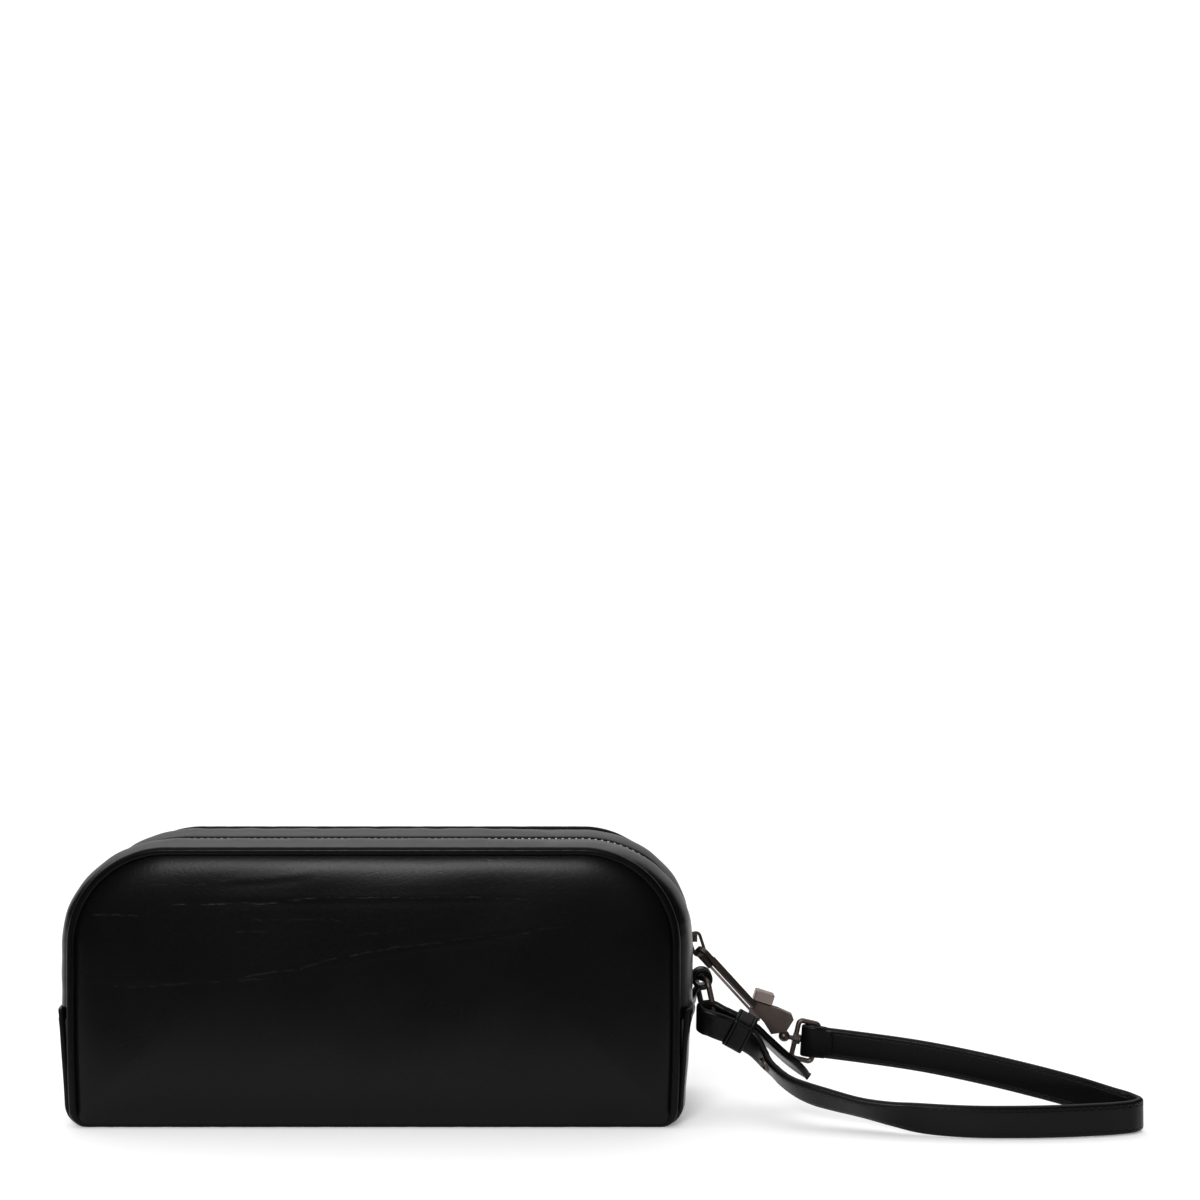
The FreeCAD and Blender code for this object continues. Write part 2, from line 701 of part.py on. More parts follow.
eye_hole.setExpression("Radius", "sheet.pin_radius + 0.06")
eye_hole.Height = 4.0
eye_hole.Placement = Placement(Vector(-loop_long / 2 - 2.0, 0, 0), Rotation(Vector(0, 1, 0), 90))
strap_loop = doc.addObject("Part::Cut", "strap_loop")
strap_loop.Base = loop_blank
strap_loop.Tool = eye_hole
strap_loop.Label = "strap_loop"
strap_loop.Placement = swivel_place * Placement(Vector(loop_left + loop_long / 2, 0, 0), Rotation())
sub_parts.append(strap_loop)

# --------------------------------------------------------- ring and its tab

tab_place = Vector(gusset_side[0] + size("tab_reach"), size("tab_offset"), size("tab_level"))
half_tab = size("tab_width") / 2
roll = Part.makeCylinder(
    size("tab_outer"), size("tab_width"), Vector(tab_place.x, tab_place.y - half_tab, tab_place.z), Vector(0, 1, 0),
)
tail_skin = size("tab_outer") - size("tab_inner")
tail = Part.makeBox(
    tail_skin, size("tab_width"), size("tab_level") - size("gusset_foot"),
    Vector(gusset_side[0] + 0.02, tab_place.y - half_tab, size("gusset_foot")),
)
bridge = Part.makeBox(
    size("tab_reach"), size("tab_width"), tail_skin,
    Vector(gusset_side[0] + 0.02, tab_place.y - half_tab, size("tab_level") + size("tab_inner")),
)
rise = Part.makeBox(
    tail_skin, size("tab_width"), size("tab_outer"),
    Vector(gusset_side[0] + 0.02, tab_place.y - half_tab, size("tab_level")),
)
bore = Part.makeCylinder(
    size("tab_inner"), size("tab_width") + 2, Vector(tab_place.x, tab_place.y - half_tab - 1, tab_place.z),
    Vector(0, 1, 0),
)
solid_of_code("ring_tab", roll.multiFuse([tail, bridge, rise]).cut(bore).removeSplitter())

half_span = length(ring_span=0.5)
ring = wire_loop(
    "strap_ring",
    [
        (half_span, length(ring_reach=-1), length(ring_corner=1)), (half_span, length(), length(ring_corner=1)),
        (minus(half_span), length(), length(ring_corner=1)),
        (minus(half_span), length(ring_reach=-1), length(ring_corner=1)),
    ],
    length(ring_wire=1), length(ring_reach=-1),
)
ring_turn = Rotation(Vector(0, 1, 0), -size("ring_lean")) * Rotation(Vector(0, 0, 1), 90 + size("ring_turn"))
ring.Placement = Placement(tab_place, ring_turn)

# ------------------------------------------------------------- wrist strap

STRAP_ROUTE = [
    (125.4, -12.0, 36.6), (137.4, -12.2, 30.0), (149.0, -15.0, 22.4), (165.0, -25.0, 13.6), (186.0, -39.0, 8.2),
    (208.0, -47.0, 6.4), (236.0, -49.5, 6.3), (262.0, -47.0, 6.3), (277.0, -43.0, 6.3), (283.6, -37.0, 6.8),
    (277.0, -31.5, 8.6), (260.0, -28.0, 13.2), (235.0, -21.5, 18.6), (208.0, -13.0, 22.2), (184.0, -6.5, 23.4),
    (166.0, -3.0, 23.4),
]


def smooth_path(points):
    """Straight runs between the points, with a tangent arc at each inner point."""
    points = [Vector(*point) for point in points]
    edges = []
    start = points[0]
    for place in range(1, len(points) - 1):
        before, here, after = points[place - 1:place + 2]
        into, out = (here - before).normalize(), (after - here).normalize()
        reach = 0.45 * min((here - before).Length, (after - here).Length)
        enter, leave = here - into * reach, here + out * reach
        half_turn = into.getAngle(out) / 2
        bisector = (out - into).normalize()
        radius = reach / math.tan(half_turn)
        middle = here + bisector * (radius / math.cos(half_turn) - radius)
        edges.append(Part.LineSegment(start, enter).toShape())
        edges.append(Part.Arc(enter, middle, leave).toShape())
        start = leave
    edges.append(Part.LineSegment(start, points[-1]).toShape())
    return Part.Wire(edges)


strap_path = smooth_path(STRAP_ROUTE)
first_point, second_point = Vector(*STRAP_ROUTE[0]), Vector(*STRAP_ROUTE[1])
heading = second_point - first_point
sideways = Vector(-heading.y, heading.x, 0).normalize() * (size("strap_thickness") / 2)
upwards = Vector(0, 0, size("strap_width") / 2)
section_points = [
    first_point - sideways - upwards, first_point + sideways - upwards,
    first_point + sideways + upwards, first_point - sideways + upwards,
]
strap_section = Part.makePolygon(section_points + [section_points[0]])
strap_sweep = Part.BRepOffsetAPI.MakePipeShell(strap_path)
strap_sweep.setBiNormalMode(Vector(0, 0, 1))
strap_sweep.add(strap_section)
strap_sweep.build()
strap_sweep.makeSolid()
strap_shape = strap_sweep.shape()
expected = size("strap_width") * size("strap_thickness") * strap_path.Length
print("strap length", round(strap_path.Length, 1), "volume ratio", round(strap_shape.Volume / expected, 3))
solid_of_code("wrist_strap", strap_shape)

keeper_turn = Rotation(Vector(0, 0, 1), -7) * Rotation(Vector(0, 1, 0), 31)
keeper_place = Placement(Vector(137.8, -9.6, 29.6), keeper_turn)
keeper_long, keeper_wall = size("keeper_length"), size("keeper_leather")
keeper_deep, keeper_high = 9.8, 17.0
keeper_front = -6.0
keeper_outer = Part.makeBox(
    keeper_long, keeper_deep, keeper_high, Vector(-keeper_long / 2, keeper_front, -keeper_high / 2)
)
keeper_outer = keeper_outer.makeFillet(1.4, [edge for edge in keeper_outer.Edges if abs(edge.tangentAt(0).x) > 0.9])
keeper_inner = Part.makeBox(
    keeper_long + 2, keeper_deep - 2 * keeper_wall, keeper_high - 2 * keeper_wall,
    Vector(-keeper_long / 2 - 1, keeper_front + keeper_wall, keeper_wall - keeper_high / 2),
)
solid_of_code("strap_keeper", keeper_outer.cut(keeper_inner), keeper_place)

rivet_cap = Part.makeCylinder(2.1, 0.6, Vector(0, 0, 0), Vector(0, -1, 0))
rivet_place = Placement(Vector(147.6, -17.1, 20.6), Rotation(Vector(0, 0, 1), -20))
solid_of_code("strap_rivet", rivet_cap, rivet_place)

# ------------------------------------------------------------ check and save

doc.recompute()
for item in doc.Objects:
    if "Invalid" in item.State or "Error" in item.State:
        raise RuntimeError(f"{item.Label} failed: {item.State}")
os.makedirs("parts", exist_ok=True)
for item in sub_parts:
    if item.Shape.isNull() or not item.Shape.isValid() or item.Shape.Volume <= 0:
        raise RuntimeError(f"{item.Label} has no valid shape")
    item.Shape.exportStep(f"parts/{item.Label}.step")
print(len(sub_parts), "sub-parts written")
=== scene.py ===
import bmesh
import bpy
import numpy as np
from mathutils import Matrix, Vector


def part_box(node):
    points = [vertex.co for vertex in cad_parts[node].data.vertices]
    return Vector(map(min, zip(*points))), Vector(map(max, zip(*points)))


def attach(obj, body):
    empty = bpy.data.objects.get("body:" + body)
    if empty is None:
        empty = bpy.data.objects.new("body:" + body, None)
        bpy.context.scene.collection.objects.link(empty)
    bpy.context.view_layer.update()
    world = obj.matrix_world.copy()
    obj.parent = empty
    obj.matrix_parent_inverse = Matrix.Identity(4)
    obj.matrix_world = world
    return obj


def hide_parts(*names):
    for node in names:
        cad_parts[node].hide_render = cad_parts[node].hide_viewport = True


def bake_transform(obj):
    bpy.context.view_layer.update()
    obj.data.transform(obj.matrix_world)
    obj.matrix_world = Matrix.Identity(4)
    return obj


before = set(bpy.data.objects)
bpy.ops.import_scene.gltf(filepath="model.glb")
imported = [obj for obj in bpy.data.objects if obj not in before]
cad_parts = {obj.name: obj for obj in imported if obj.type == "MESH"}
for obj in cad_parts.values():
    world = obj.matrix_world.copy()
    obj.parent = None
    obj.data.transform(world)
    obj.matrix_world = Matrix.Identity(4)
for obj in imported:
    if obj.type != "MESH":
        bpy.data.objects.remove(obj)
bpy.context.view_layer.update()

# ---------------------------------------------------------------------------
# Table, camera and light.  The bag stands near the front edge of a wide white
# table with a bright wall behind it, under one very broad light and a smaller one
# in front; what lies behind the viewer is dim, so the black leather stays black.

MM = 0.001
front_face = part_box("front_piping")[0][1]
view_side, view_distance, view_height = 84 * MM, 755 * MM, 196 * MM
camera_data = bpy.data.cameras.new("view")
camera_data.sensor_width = 36.0
camera_data.lens = 61.2
camera = bpy.data.objects.new("view", camera_data)
camera.location = (view_side, front_face - view_distance, view_height)
camera.rotation_euler = (np.pi / 2, 0, 0)
bpy.context.collection.objects.link(camera)
bpy.context.scene.camera = camera
bpy.context.scene.view_settings.view_transform = "Standard"


def grid_mesh(name, points, wrap_u=False, wrap_v=False, uv=None, caps=False):
    """A mesh from a (rows, columns, 3) array: one face for each cell between neighbours.

    wrap_u and wrap_v join the last row or column to the first; caps closes the two end rows of a tube.
    uv is a (rows, columns, 2) array, kept for each corner of each face.  A closed shape's faces are
    turned outward.  Open edges and the rims of caps stay crisp, so that pieces cut there shade as one.
    """
    points = np.asarray(points, float)
    rows, columns = points.shape[:2]
    number = np.arange(rows * columns).reshape(rows, columns)
    if wrap_u:
        number = np.vstack([number, number[:1]])
    if wrap_v:
        number = np.hstack([number, number[:, :1]])
    faces = np.stack([number[:-1, :-1], number[1:, :-1], number[1:, 1:], number[:-1, 1:]], -1).reshape(-1, 4)
    polygons = faces.tolist()
    if caps:
        polygons.append(number[0, :columns].tolist())
        polygons.append(number[-1, :columns][::-1].tolist())
    mesh = bpy.data.meshes.new(name)
    mesh.from_pydata(points.reshape(-1, 3).tolist(), [], polygons)
    layer = mesh.uv_layers.new(name="UVMap")
    flat = np.zeros((rows * columns, 2)) if uv is None else np.asarray(uv, float).reshape(-1, 2)
    loops = np.empty(len(mesh.loops), int)
    mesh.loops.foreach_get("vertex_index", loops)
    layer.data.foreach_set("uv", flat[loops].astype(np.float32).ravel())
    mesh.polygons.foreach_set("use_smooth", np.ones(len(mesh.polygons), bool))
    shape = bmesh.new()
    shape.from_mesh(mesh)
    if caps or (wrap_u and wrap_v):
        bmesh.ops.recalc_face_normals(shape, faces=shape.faces)
    for edge in shape.edges:
        at_cap = any(len(face.verts) > 4 for face in edge.link_faces)
        edge.smooth = len(edge.link_faces) > 1 and not at_cap
    shape.to_mesh(mesh)
    shape.free()
    mesh.update()
    piece = bpy.data.objects.new(name, mesh)
    bpy.context.collection.objects.link(piece)
    return piece


table_half, table_front, table_back = 3.0, -0.17, 1.5
table_grid = np.zeros((3, 3, 3))
table_grid[..., 0] = np.linspace(-table_half, table_half, 3)[None, :]
table_grid[..., 1] = np.linspace(table_back, table_front, 3)[:, None]
table = grid_mesh("table", table_grid)


class Value:
    """A number that varies over a surface: one output socket of a finish's nodes.

    The arithmetic operators add Math nodes, so an expression on values reads as a formula.
    """

    def __init__(self, finish, socket):
        self.finish, self.socket = finish, socket

    def math(self, operation, *others):
        inputs = {place: item for place, item in enumerate((self,) + others)}
        return self.finish.node("ShaderNodeMath", inputs, operation=operation)

    def __add__(self, other):
        return self.math("ADD", other)

    def __mul__(self, other):
        return self.math("MULTIPLY", other)

    def __sub__(self, other):
        return self.math("SUBTRACT", other)

    def __rsub__(self, other):
        return self.finish.node("ShaderNodeMath", {0: other, 1: self}, operation="SUBTRACT")

    def __truediv__(self, other):
        return self.math("DIVIDE", other)

    __radd__ = __add__
    __rmul__ = __mul__

    def between(self, low, high, start=0.0, end=1.0):
        """start where the value is at or below low, end at or above high, and smooth between."""
        inputs = {"Value": self, "From Min": low, "From Max": high, "To Min": start, "To Max": end}
        return self.finish.node("ShaderNodeMapRange", inputs, interpolation_type="SMOOTHSTEP")


class Finish:
    """A procedural material: its node tree and the one shader that shows."""

    def __init__(self, name, **constants):
        self.material = bpy.data.materials.new(name)
        self.material.use_nodes = True
        self.tree = self.material.node_tree
        self.shader = self.tree.nodes["Principled BSDF"]
        for socket, amount in constants.items():
            self.shader.inputs[socket.replace("_", " ")].default_value = amount

    def node(self, kind, inputs=(), output=0, **settings):
        """Adds one node: its settings first, then the values or links of its sockets."""
        node = self.tree.nodes.new(kind)
        for setting, choice in settings.items():
            setattr(node, setting, choice)
        for socket, item in dict(inputs).items():
            if isinstance(item, Value):
                self.tree.links.new(item.socket, node.inputs[socket])
            else:
                node.inputs[socket].default_value = item
        return Value(self, node.outputs[output])

    def place(self, output="Object"):
        """The piece's own coordinates, or its UV map with output="UV"."""
        return self.node("ShaderNodeTexCoord", output=output)

    def noise(self, scale, detail=3.0):
        """Smooth noise from 0 to 1, with scale waves to the metre."""
        inputs = {"Vector": self.place(), "Scale": scale, "Detail": detail}
        return self.node("ShaderNodeTexNoise", inputs, output="Fac")

    def cells(self, scale, feature="F1"):
        """Distance to the nearest cell's middle, or to its edge with DISTANCE_TO_EDGE."""
        inputs = {"Vector": self.place(), "Scale": scale}
        return self.node("ShaderNodeTexVoronoi", inputs, output="Distance", feature=feature)

    def axes(self, vector):
        """The three coordinates of a vector as values."""
        first = self.node("ShaderNodeSeparateXYZ", {0: vector})
        return [Value(self, output) for output in first.socket.node.outputs]

    def colour(self, amount, dark, light):
        """dark where amount is 0, light where it is 1."""
        inputs = {0: amount, 6: (*dark, 1.0), 7: (*light, 1.0)}
        return self.node("ShaderNodeMix", inputs, output=2, data_type="RGBA")

    def feed(self, **links):
        """Links values to the shader's sockets, with Base_Color for Base Color."""
        for socket, item in links.items():
            self.tree.links.new(item.socket, self.shader.inputs[socket.replace("_", " ")])

    def relief(self, height, depth, strength=1.0):
        """Raises the surface by height times depth, in metres."""
        bump = self.node("ShaderNodeBump", {"Height": height, "Distance": depth, "Strength": strength})
        self.feed(Normal=bump)


table_finish = Finish("white_table", Roughness=0.6)
cloudy_white = table_finish.colour(table_finish.noise(3.0), (0.90, 0.90, 0.90), (0.93, 0.93, 0.93))
table_finish.feed(Base_Color=cloudy_white)
table_finish.shader.inputs["Specular IOR Level"].default_value = 0.2
table_finish.shader.inputs["Emission Color"].default_value = (1.0, 1.0, 1.0, 1.0)
table_finish.shader.inputs["Emission Strength"].default_value = 0.25
table.data.materials.append(table_finish.material)

sky = bpy.data.lights.new("overhead_light", "SUN")
sky.energy = 2.5
sky.angle = np.radians(95)
sky_object = bpy.data.objects.new("overhead_light", sky)
sky_object.rotation_euler = (np.radians(-14), np.radians(-10), 0)
bpy.context.collection.objects.link(sky_object)


def area_light(name, wide, high, power, place, tilt):
    """A rectangle of light at a place, turned about x by tilt degrees."""
    light = bpy.data.lights.new(name, "AREA")
    light.shape = "RECTANGLE"
    light.size, light.size_y = wide, high
    light.energy = power
    lamp = bpy.data.objects.new(name, light)
    lamp.location = place
    lamp.rotation_euler = (np.radians(tilt), 0, 0)
    bpy.context.collection.objects.link(lamp)


area_light("front_light", 0.30, 0.30, 7, (-0.10, -0.95, 0.47), 68)
area_light("bright_wall", 3.4, 1.2, 7, (0.1, 1.6, 0.62), -90)

room = bpy.data.worlds.new("room")
bpy.context.scene.world = room
room.use_nodes = True
room_tree = room.node_tree
dim = room_tree.nodes["Background"]
seen = room_tree.nodes.new("ShaderNodeBackground")
for backdrop, strength in ((dim, 0.05), (seen, 1.05)):
    backdrop.inputs["Color"].default_value = (1.0, 1.0, 1.0, 1.0)
    backdrop.inputs["Strength"].default_value = strength
ray = room_tree.nodes.new("ShaderNodeLightPath")
choose = room_tree.nodes.new("ShaderNodeMixShader")
room_tree.links.new(ray.outputs["Is Camera Ray"], choose.inputs["Fac"])
room_tree.links.new(dim.outputs[0], choose.inputs[1])
room_tree.links.new(seen.outputs[0], choose.inputs[2])
room_tree.links.new(choose.outputs[0], room_tree.nodes["World Output"].inputs["Surface"])

# ---------------------------------------------------------------------------
# Front and back panels.  Each is one piece of smooth black calf, sewn into the
# piping all round; the seam pulls its edge in, and between the seams it stands
# a little proud, with faint creases where the pouch has been squeezed.

piping_low, piping_high = (np.array(corner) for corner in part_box("front_piping"))
half_width = piping_high[0] - 1.1 * MM
bag_top = piping_high[2]
welt = (piping_high[1] - piping_low[1]) / 2
top_radius, foot_radius = 37 * MM, 6 * MM
pore_scale, haze_scale, calf_shine = 1500.0, 900.0, 0.11


def calf(name, shine=calf_shine):
    """Black calf without its grain, and its base colour: a slow mottle and a soft, uneven sheen."""
    finish = Finish(name)
    finish.shader.inputs["Specular IOR Level"].default_value = shine
    mottle = finish.noise(38.0, 4.0)
    haze = finish.noise(haze_scale, 2.0)
    base = finish.colour(mottle, (0.0016, 0.0016, 0.0018), (0.0034, 0.0033, 0.0035))
    finish.feed(Base_Color=base, Roughness=mottle * 0.05 + haze * 0.08 + 0.23)
    return finish, base


def leather(name, shine=calf_shine, grain=1.0):
    """The calf with its grain: fine round pores between shallow folds."""
    finish, _ = calf(name, shine)
    pores = finish.cells(pore_scale)
    folds = finish.cells(420.0, "DISTANCE_TO_EDGE").between(0.0, 0.09)
    haze = finish.noise(haze_scale, 2.0)
    finish.relief(pores * 0.5 + folds * 0.25 + haze * 0.35, 0.07 * MM * grain, 0.45)
    return finish.material


black_leather = leather("black_leather")


def creased(name, marks):
    """The calf with hair-thin crease lines, whose broken surface is a little lighter.

    Each mark is a line from start to end, bowed in the middle, that wanders with the grain.
    """
    finish, base = calf(name)
    u, v, _ = finish.axes(finish.place("UV"))
    slow_wander = (finish.noise(45.0) - 0.5) * 6.0 * MM
    wander = slow_wander + (finish.noise(300.0, 2.0) - 0.5) * 0.8 * MM
    lines = None
    for start, end, bow, strength in marks:
        along = (u - start[0]) / (end[0] - start[0])
        arch = along * (1.0 - along)
        line = along * (end[1] - start[1]) + start[1] + arch * (4 * bow)
        near = 1.0 - (v - line + wander).math("ABSOLUTE").between(0.10 * MM, 0.42 * MM)
        mark = near * arch.between(0.0, 0.06) * strength
        lines = mark if lines is None else lines.math("MAXIMUM", mark)
    broken = lines * finish.noise(260.0).between(0.38, 0.62)
    inputs = {0: broken, 6: base, 7: (0.0100, 0.0098, 0.0095, 1.0)}
    finish.feed(Base_Color=finish.node("ShaderNodeMix", inputs, output=2, data_type="RGBA"))
    folds = finish.cells(330.0, "DISTANCE_TO_EDGE").between(0.0, 0.08)
    grain = finish.cells(pore_scale) * 0.5 + folds * 0.5
    finish.relief(grain * 0.35 + finish.noise(haze_scale) * 0.3 - broken * 0.7, 0.09 * MM, 0.5)
    return finish.material


# Each mark is its start, its end, how far its middle bows, and how clearly it shows.
creased_leather = creased("creased_leather", [
    ((-76 * MM, 83.6 * MM), (-14 * MM, 86.0 * MM), -0.3 * MM, 0.9),
    ((-34 * MM, 85.4 * MM), (58 * MM, 85.0 * MM), 0.6 * MM, 0.7),
    ((-107 * MM, 79.6 * MM), (-82 * MM, 78.6 * MM), 0.4 * MM, 0.9),
    ((-84 * MM, 91.5 * MM), (-52 * MM, 93.0 * MM), -0.5 * MM, 0.4),
    ((-66 * MM, 72.5 * MM), (-38 * MM, 74.0 * MM), 0.4 * MM, 0.5),
    ((-98 * MM, 54.0 * MM), (-36 * MM, 56.0 * MM), -1.6 * MM, 0.6),
    ((-52 * MM, 54.6 * MM), (22 * MM, 69.0 * MM), 1.2 * MM, 0.8),
    ((-6 * MM, 72.5 * MM), (14 * MM, 75.0 * MM), -0.4 * MM, 0.5),
    ((4 * MM, 66.0 * MM), (72 * MM, 75.0 * MM), 1.0 * MM, 0.6),
    ((-46 * MM, 78.5 * MM), (-10 * MM, 76.5 * MM), 0.6 * MM, 0.45),
])


def dome_distance(x, z, inset):
    """How far a point lies inside the outline: a box's distance with round corners, large at the top."""
    middle = bag_top / 2
    corner = np.where(z > middle, top_radius - inset, foot_radius - inset)
    side = np.abs(x) - (half_width - inset) + corner
    level = np.abs(z - middle) - (bag_top / 2 - inset) + corner
    outside = np.hypot(np.maximum(side, 0), np.maximum(level, 0))
    return corner - outside - np.minimum(np.maximum(side, level), 0)


def dome_grid(inset, rows, columns):
    """x and z over the outline: rows from foot to top, each as wide as the outline is there.

    Rows are spaced evenly in angle round the corners, so the round edge stays round.
    """
    top_bend, foot_bend = top_radius - inset, foot_radius - inset
    low, high, half = inset, bag_top - inset, half_width - inset
    foot_rows, top_rows = rows // 12, rows // 3
    foot_turn = np.linspace(-np.pi / 2, 0, foot_rows, endpoint=False)
    top_turn = np.linspace(0, np.pi / 2, top_rows)
    straight = np.linspace(low + foot_bend, high - top_bend, rows - foot_rows - top_rows, endpoint=False)
    z = np.concatenate([
        low + foot_bend * (1 + np.sin(foot_turn)),
        straight,
        high - top_bend * (1 - np.sin(top_turn)),
    ])
    reach = np.concatenate([
        half - foot_bend * (1 - np.cos(foot_turn)),
        np.full(len(straight), half),
        half - top_bend * (1 - np.cos(top_turn)),
    ])
    across = np.linspace(-1, 1, columns)
    return reach[:, None] * across[None, :], np.repeat(z[:, None], columns, 1)


def settled(x, z):
    """x drawn in towards the foot, where the bag stands on its base.

    The sides come in by the square of how far z lies below 44 mm, and the rest in proportion to x.
    """
    drawn_in = 1.3 * MM * np.clip(1 - z / (44 * MM), 0, 1) ** 2
    return x - np.sign(x) * drawn_in * np.minimum(np.abs(x) / half_width, 1)


def crease(x, z, start, end, bow, depth):
    """A shallow fold line from start to end, bowed in the middle; it fades out at both ends.

    Across the line it is a bell-shaped dip with a smaller ridge beside it.
    """
    width = 1.3 * MM
    along = (x - start[0]) / (end[0] - start[0])
    line = start[1] + (end[1] - start[1]) * along + bow * 4 * along * (1 - along)
    fade = np.clip(np.minimum(along, 1 - along) * 4, 0, 1)
    gap = (z - line) / width
    return depth * fade * (np.exp(-gap ** 2) - 0.6 * np.exp(-(gap - 1.8) ** 2))


def puffed(x, z, inset, rise, marks):
    """How far the leather stands proud of its seam: steep at the edge, then almost flat.

    The height is two exponentials of the distance inside the outline, averaged ten times with its
    four neighbours, less the creases, with slow waves that fade out at the seam.
    """
    inside = np.maximum(dome_distance(x, z, inset), 0)
    edge_reach, crown_reach, crown_rise = 4.4 * MM, 22 * MM, 1.3 * MM
    height = rise * (1 - np.exp(-inside / edge_reach)) + crown_rise * (1 - np.exp(-inside / crown_reach))
    for _ in range(10):
        around = height[:-2, 1:-1] + height[2:, 1:-1] + height[1:-1, :-2] + height[1:-1, 2:]
        height[1:-1, 1:-1] = 0.5 * height[1:-1, 1:-1] + 0.125 * around
    for mark in marks:
        height -= crease(x, z, *mark)
    slow = np.sin(x * 61 + 1.3) * np.sin(z * 83 + 0.4) + 0.6 * np.sin(x * 118 - z * 95 + 2.0)
    return height + 0.12 * MM * slow * np.clip(inside / (12 * MM), 0, 1)


def facing_out(side, surface, uv):
    """A surface of the front half and its UV map with their faces turned out, or mirrored to the back."""
    if side == "front":
        return surface[:, ::-1], uv[:, ::-1]
    return surface * np.array([1, -1, 1]), uv


# Each mark is its start, its end, how far its middle bows, and how deep it is.
seam_inset = 2.3 * MM
front_marks = [
    ((-74 * MM, 84.2 * MM), (58 * MM, 85.0 * MM), -0.7 * MM, 0.05 * MM),
    ((-107 * MM, 53.4 * MM), (-20 * MM, 58.5 * MM), -2.2 * MM, 0.05 * MM),
    ((-40 * MM, 57.0 * MM), (70 * MM, 74.6 * MM), 0.6 * MM, 0.05 * MM),
    ((-58 * MM, 90 * MM), (-20 * MM, 93 * MM), -0.6 * MM, 0.05 * MM),
]
back_marks = [
    ((-80 * MM, 80 * MM), (30 * MM, 84 * MM), -1.0 * MM, 0.20 * MM),
    ((-20 * MM, 52 * MM), (98 * MM, 66 * MM), 1.4 * MM, 0.18 * MM),
    ((-100 * MM, 34 * MM), (-8 * MM, 28 * MM), 1.2 * MM, 0.14 * MM),
]
panel_seam_y = piping_low[1] + 2.4 * MM
for side, marks in (("front", front_marks), ("back", back_marks)):
    x, z = dome_grid(seam_inset, 190, 330)
    y = panel_seam_y - puffed(x, z, seam_inset, 2.7 * MM, marks)
    foot_roll = 1.7 * MM * np.clip(1 - z / (20 * MM), 0, 1) ** 2
    surface = np.stack([settled(x, z), y, z - foot_roll], -1)
    surface, uv = facing_out(side, surface, np.stack([x, z], -1))
    panel = grid_mesh(f"{side}_leather_panel", surface, uv=uv)
    wall = panel.modifiers.new("thickness", "SOLIDIFY")
    wall.thickness, wall.offset = 1.2 * MM, -1.0
    panel.data.materials.append(creased_leather)
    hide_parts(f"{side}_panel")
    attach(panel, "bag")

# ---------------------------------------------------------------------------
# Piping.  A strip of the same leather wrapped round a cord and sewn into the
# seam all round each panel, so it stands up as a smooth round welt; at the foot
# the bag's weight turns it under the edge.


def dome_path(inset, step=1.2 * MM):
    """Points and outward directions round the outline, anticlockwise from the middle of the foot.

    Straight runs and quarter circles are joined end to end.
    """
    half, low, high = half_width - inset, inset, bag_top - inset
    top_bend, foot_bend = top_radius - inset, foot_radius - inset
    pieces = []

    def run(start, end, facing):
        start, end = np.array(start), np.array(end)
        count = max(2, int(np.hypot(*(end - start)) / step))
        share = np.linspace(0, 1, count, endpoint=False)[:, None]
        pieces.append((start + (end - start) * share, np.repeat([facing], count, 0)))

    def bend(middle, radius, first):
        count = max(8, int(radius * np.pi / 2 / step))
        angle = first + np.linspace(0, np.pi / 2, count, endpoint=False)
        facing = np.stack([np.cos(angle), np.sin(angle)], -1)
        pieces.append((np.array(middle) + radius * facing, facing))

    run((0, low), (half - foot_bend, low), (0.0, -1.0))
    bend((half - foot_bend, low + foot_bend), foot_bend, -np.pi / 2)
    run((half, low + foot_bend), (half, high - top_bend), (1.0, 0.0))
    bend((half - top_bend, high - top_bend), top_bend, 0.0)
    run((half - top_bend, high), (-half + top_bend, high), (0.0, 1.0))
    bend((-half + top_bend, high - top_bend), top_bend, np.pi / 2)
    run((-half, high - top_bend), (-half, low + foot_bend), (-1.0, 0.0))
    bend((-half + foot_bend, low + foot_bend), foot_bend, np.pi)
    run((-half + foot_bend, low), (0, low), (0.0, -1.0))
    return np.vstack([item[0] for item in pieces]), np.vstack([item[1] for item in pieces])


welt_leather = leather("welt_leather", shine=0.07)
welt_y = piping_low[1] + welt
welt_path, welt_facing = dome_path(welt)
row = np.arange(len(welt_path))[:, None]
around = np.linspace(0, 2 * np.pi, 17)[:-1][None, :]
uneven = 1 + 0.025 * np.sin(row * 0.9) + 0.02 * np.sin(row * 0.37 + 1)
welt_radius = welt * np.minimum(uneven, 1)
tucked = 2.6 * MM * np.clip(1 - welt_path[:, 1:] / (6 * MM), 0, 1) ** 0.8
for side, sign in (("front", 1), ("back", -1)):
    out = welt_radius * np.cos(around)
    tube = np.stack([
        settled(welt_path[:, :1], welt_path[:, 1:]) + welt_facing[:, :1] * out,
        sign * (welt_y + tucked) + welt_radius * np.sin(around),
        welt_path[:, 1:] + welt_facing[:, 1:] * out,
    ], -1)
    piping = grid_mesh(f"{side}_welt", tube[:, ::-1], wrap_u=True, wrap_v=True)
    piping.data.materials.append(welt_leather)
    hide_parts(f"{side}_piping")
    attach(piping, "bag")

# ---------------------------------------------------------------------------
# Zip gusset.  A strip of leather each side of the zip, from the base gusset up
# one side, over the top and down the other.  It is sewn behind the piping,
# swells between its seams, and is folded under along the zip.

(_, _, gusset_foot), (gusset_side, zip_edge, _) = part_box("front_strip_right")
seam_y = piping_low[1] + 2.8 * MM
gusset_step = 1.3 * MM
mouth_bend_start, mouth_bend_end = 102 * MM, 62 * MM


def travel_along(path):
    """The distance from the first point to each point."""
    return np.concatenate([[0], np.cumsum(np.linalg.norm(np.diff(path, axis=0), axis=1))])


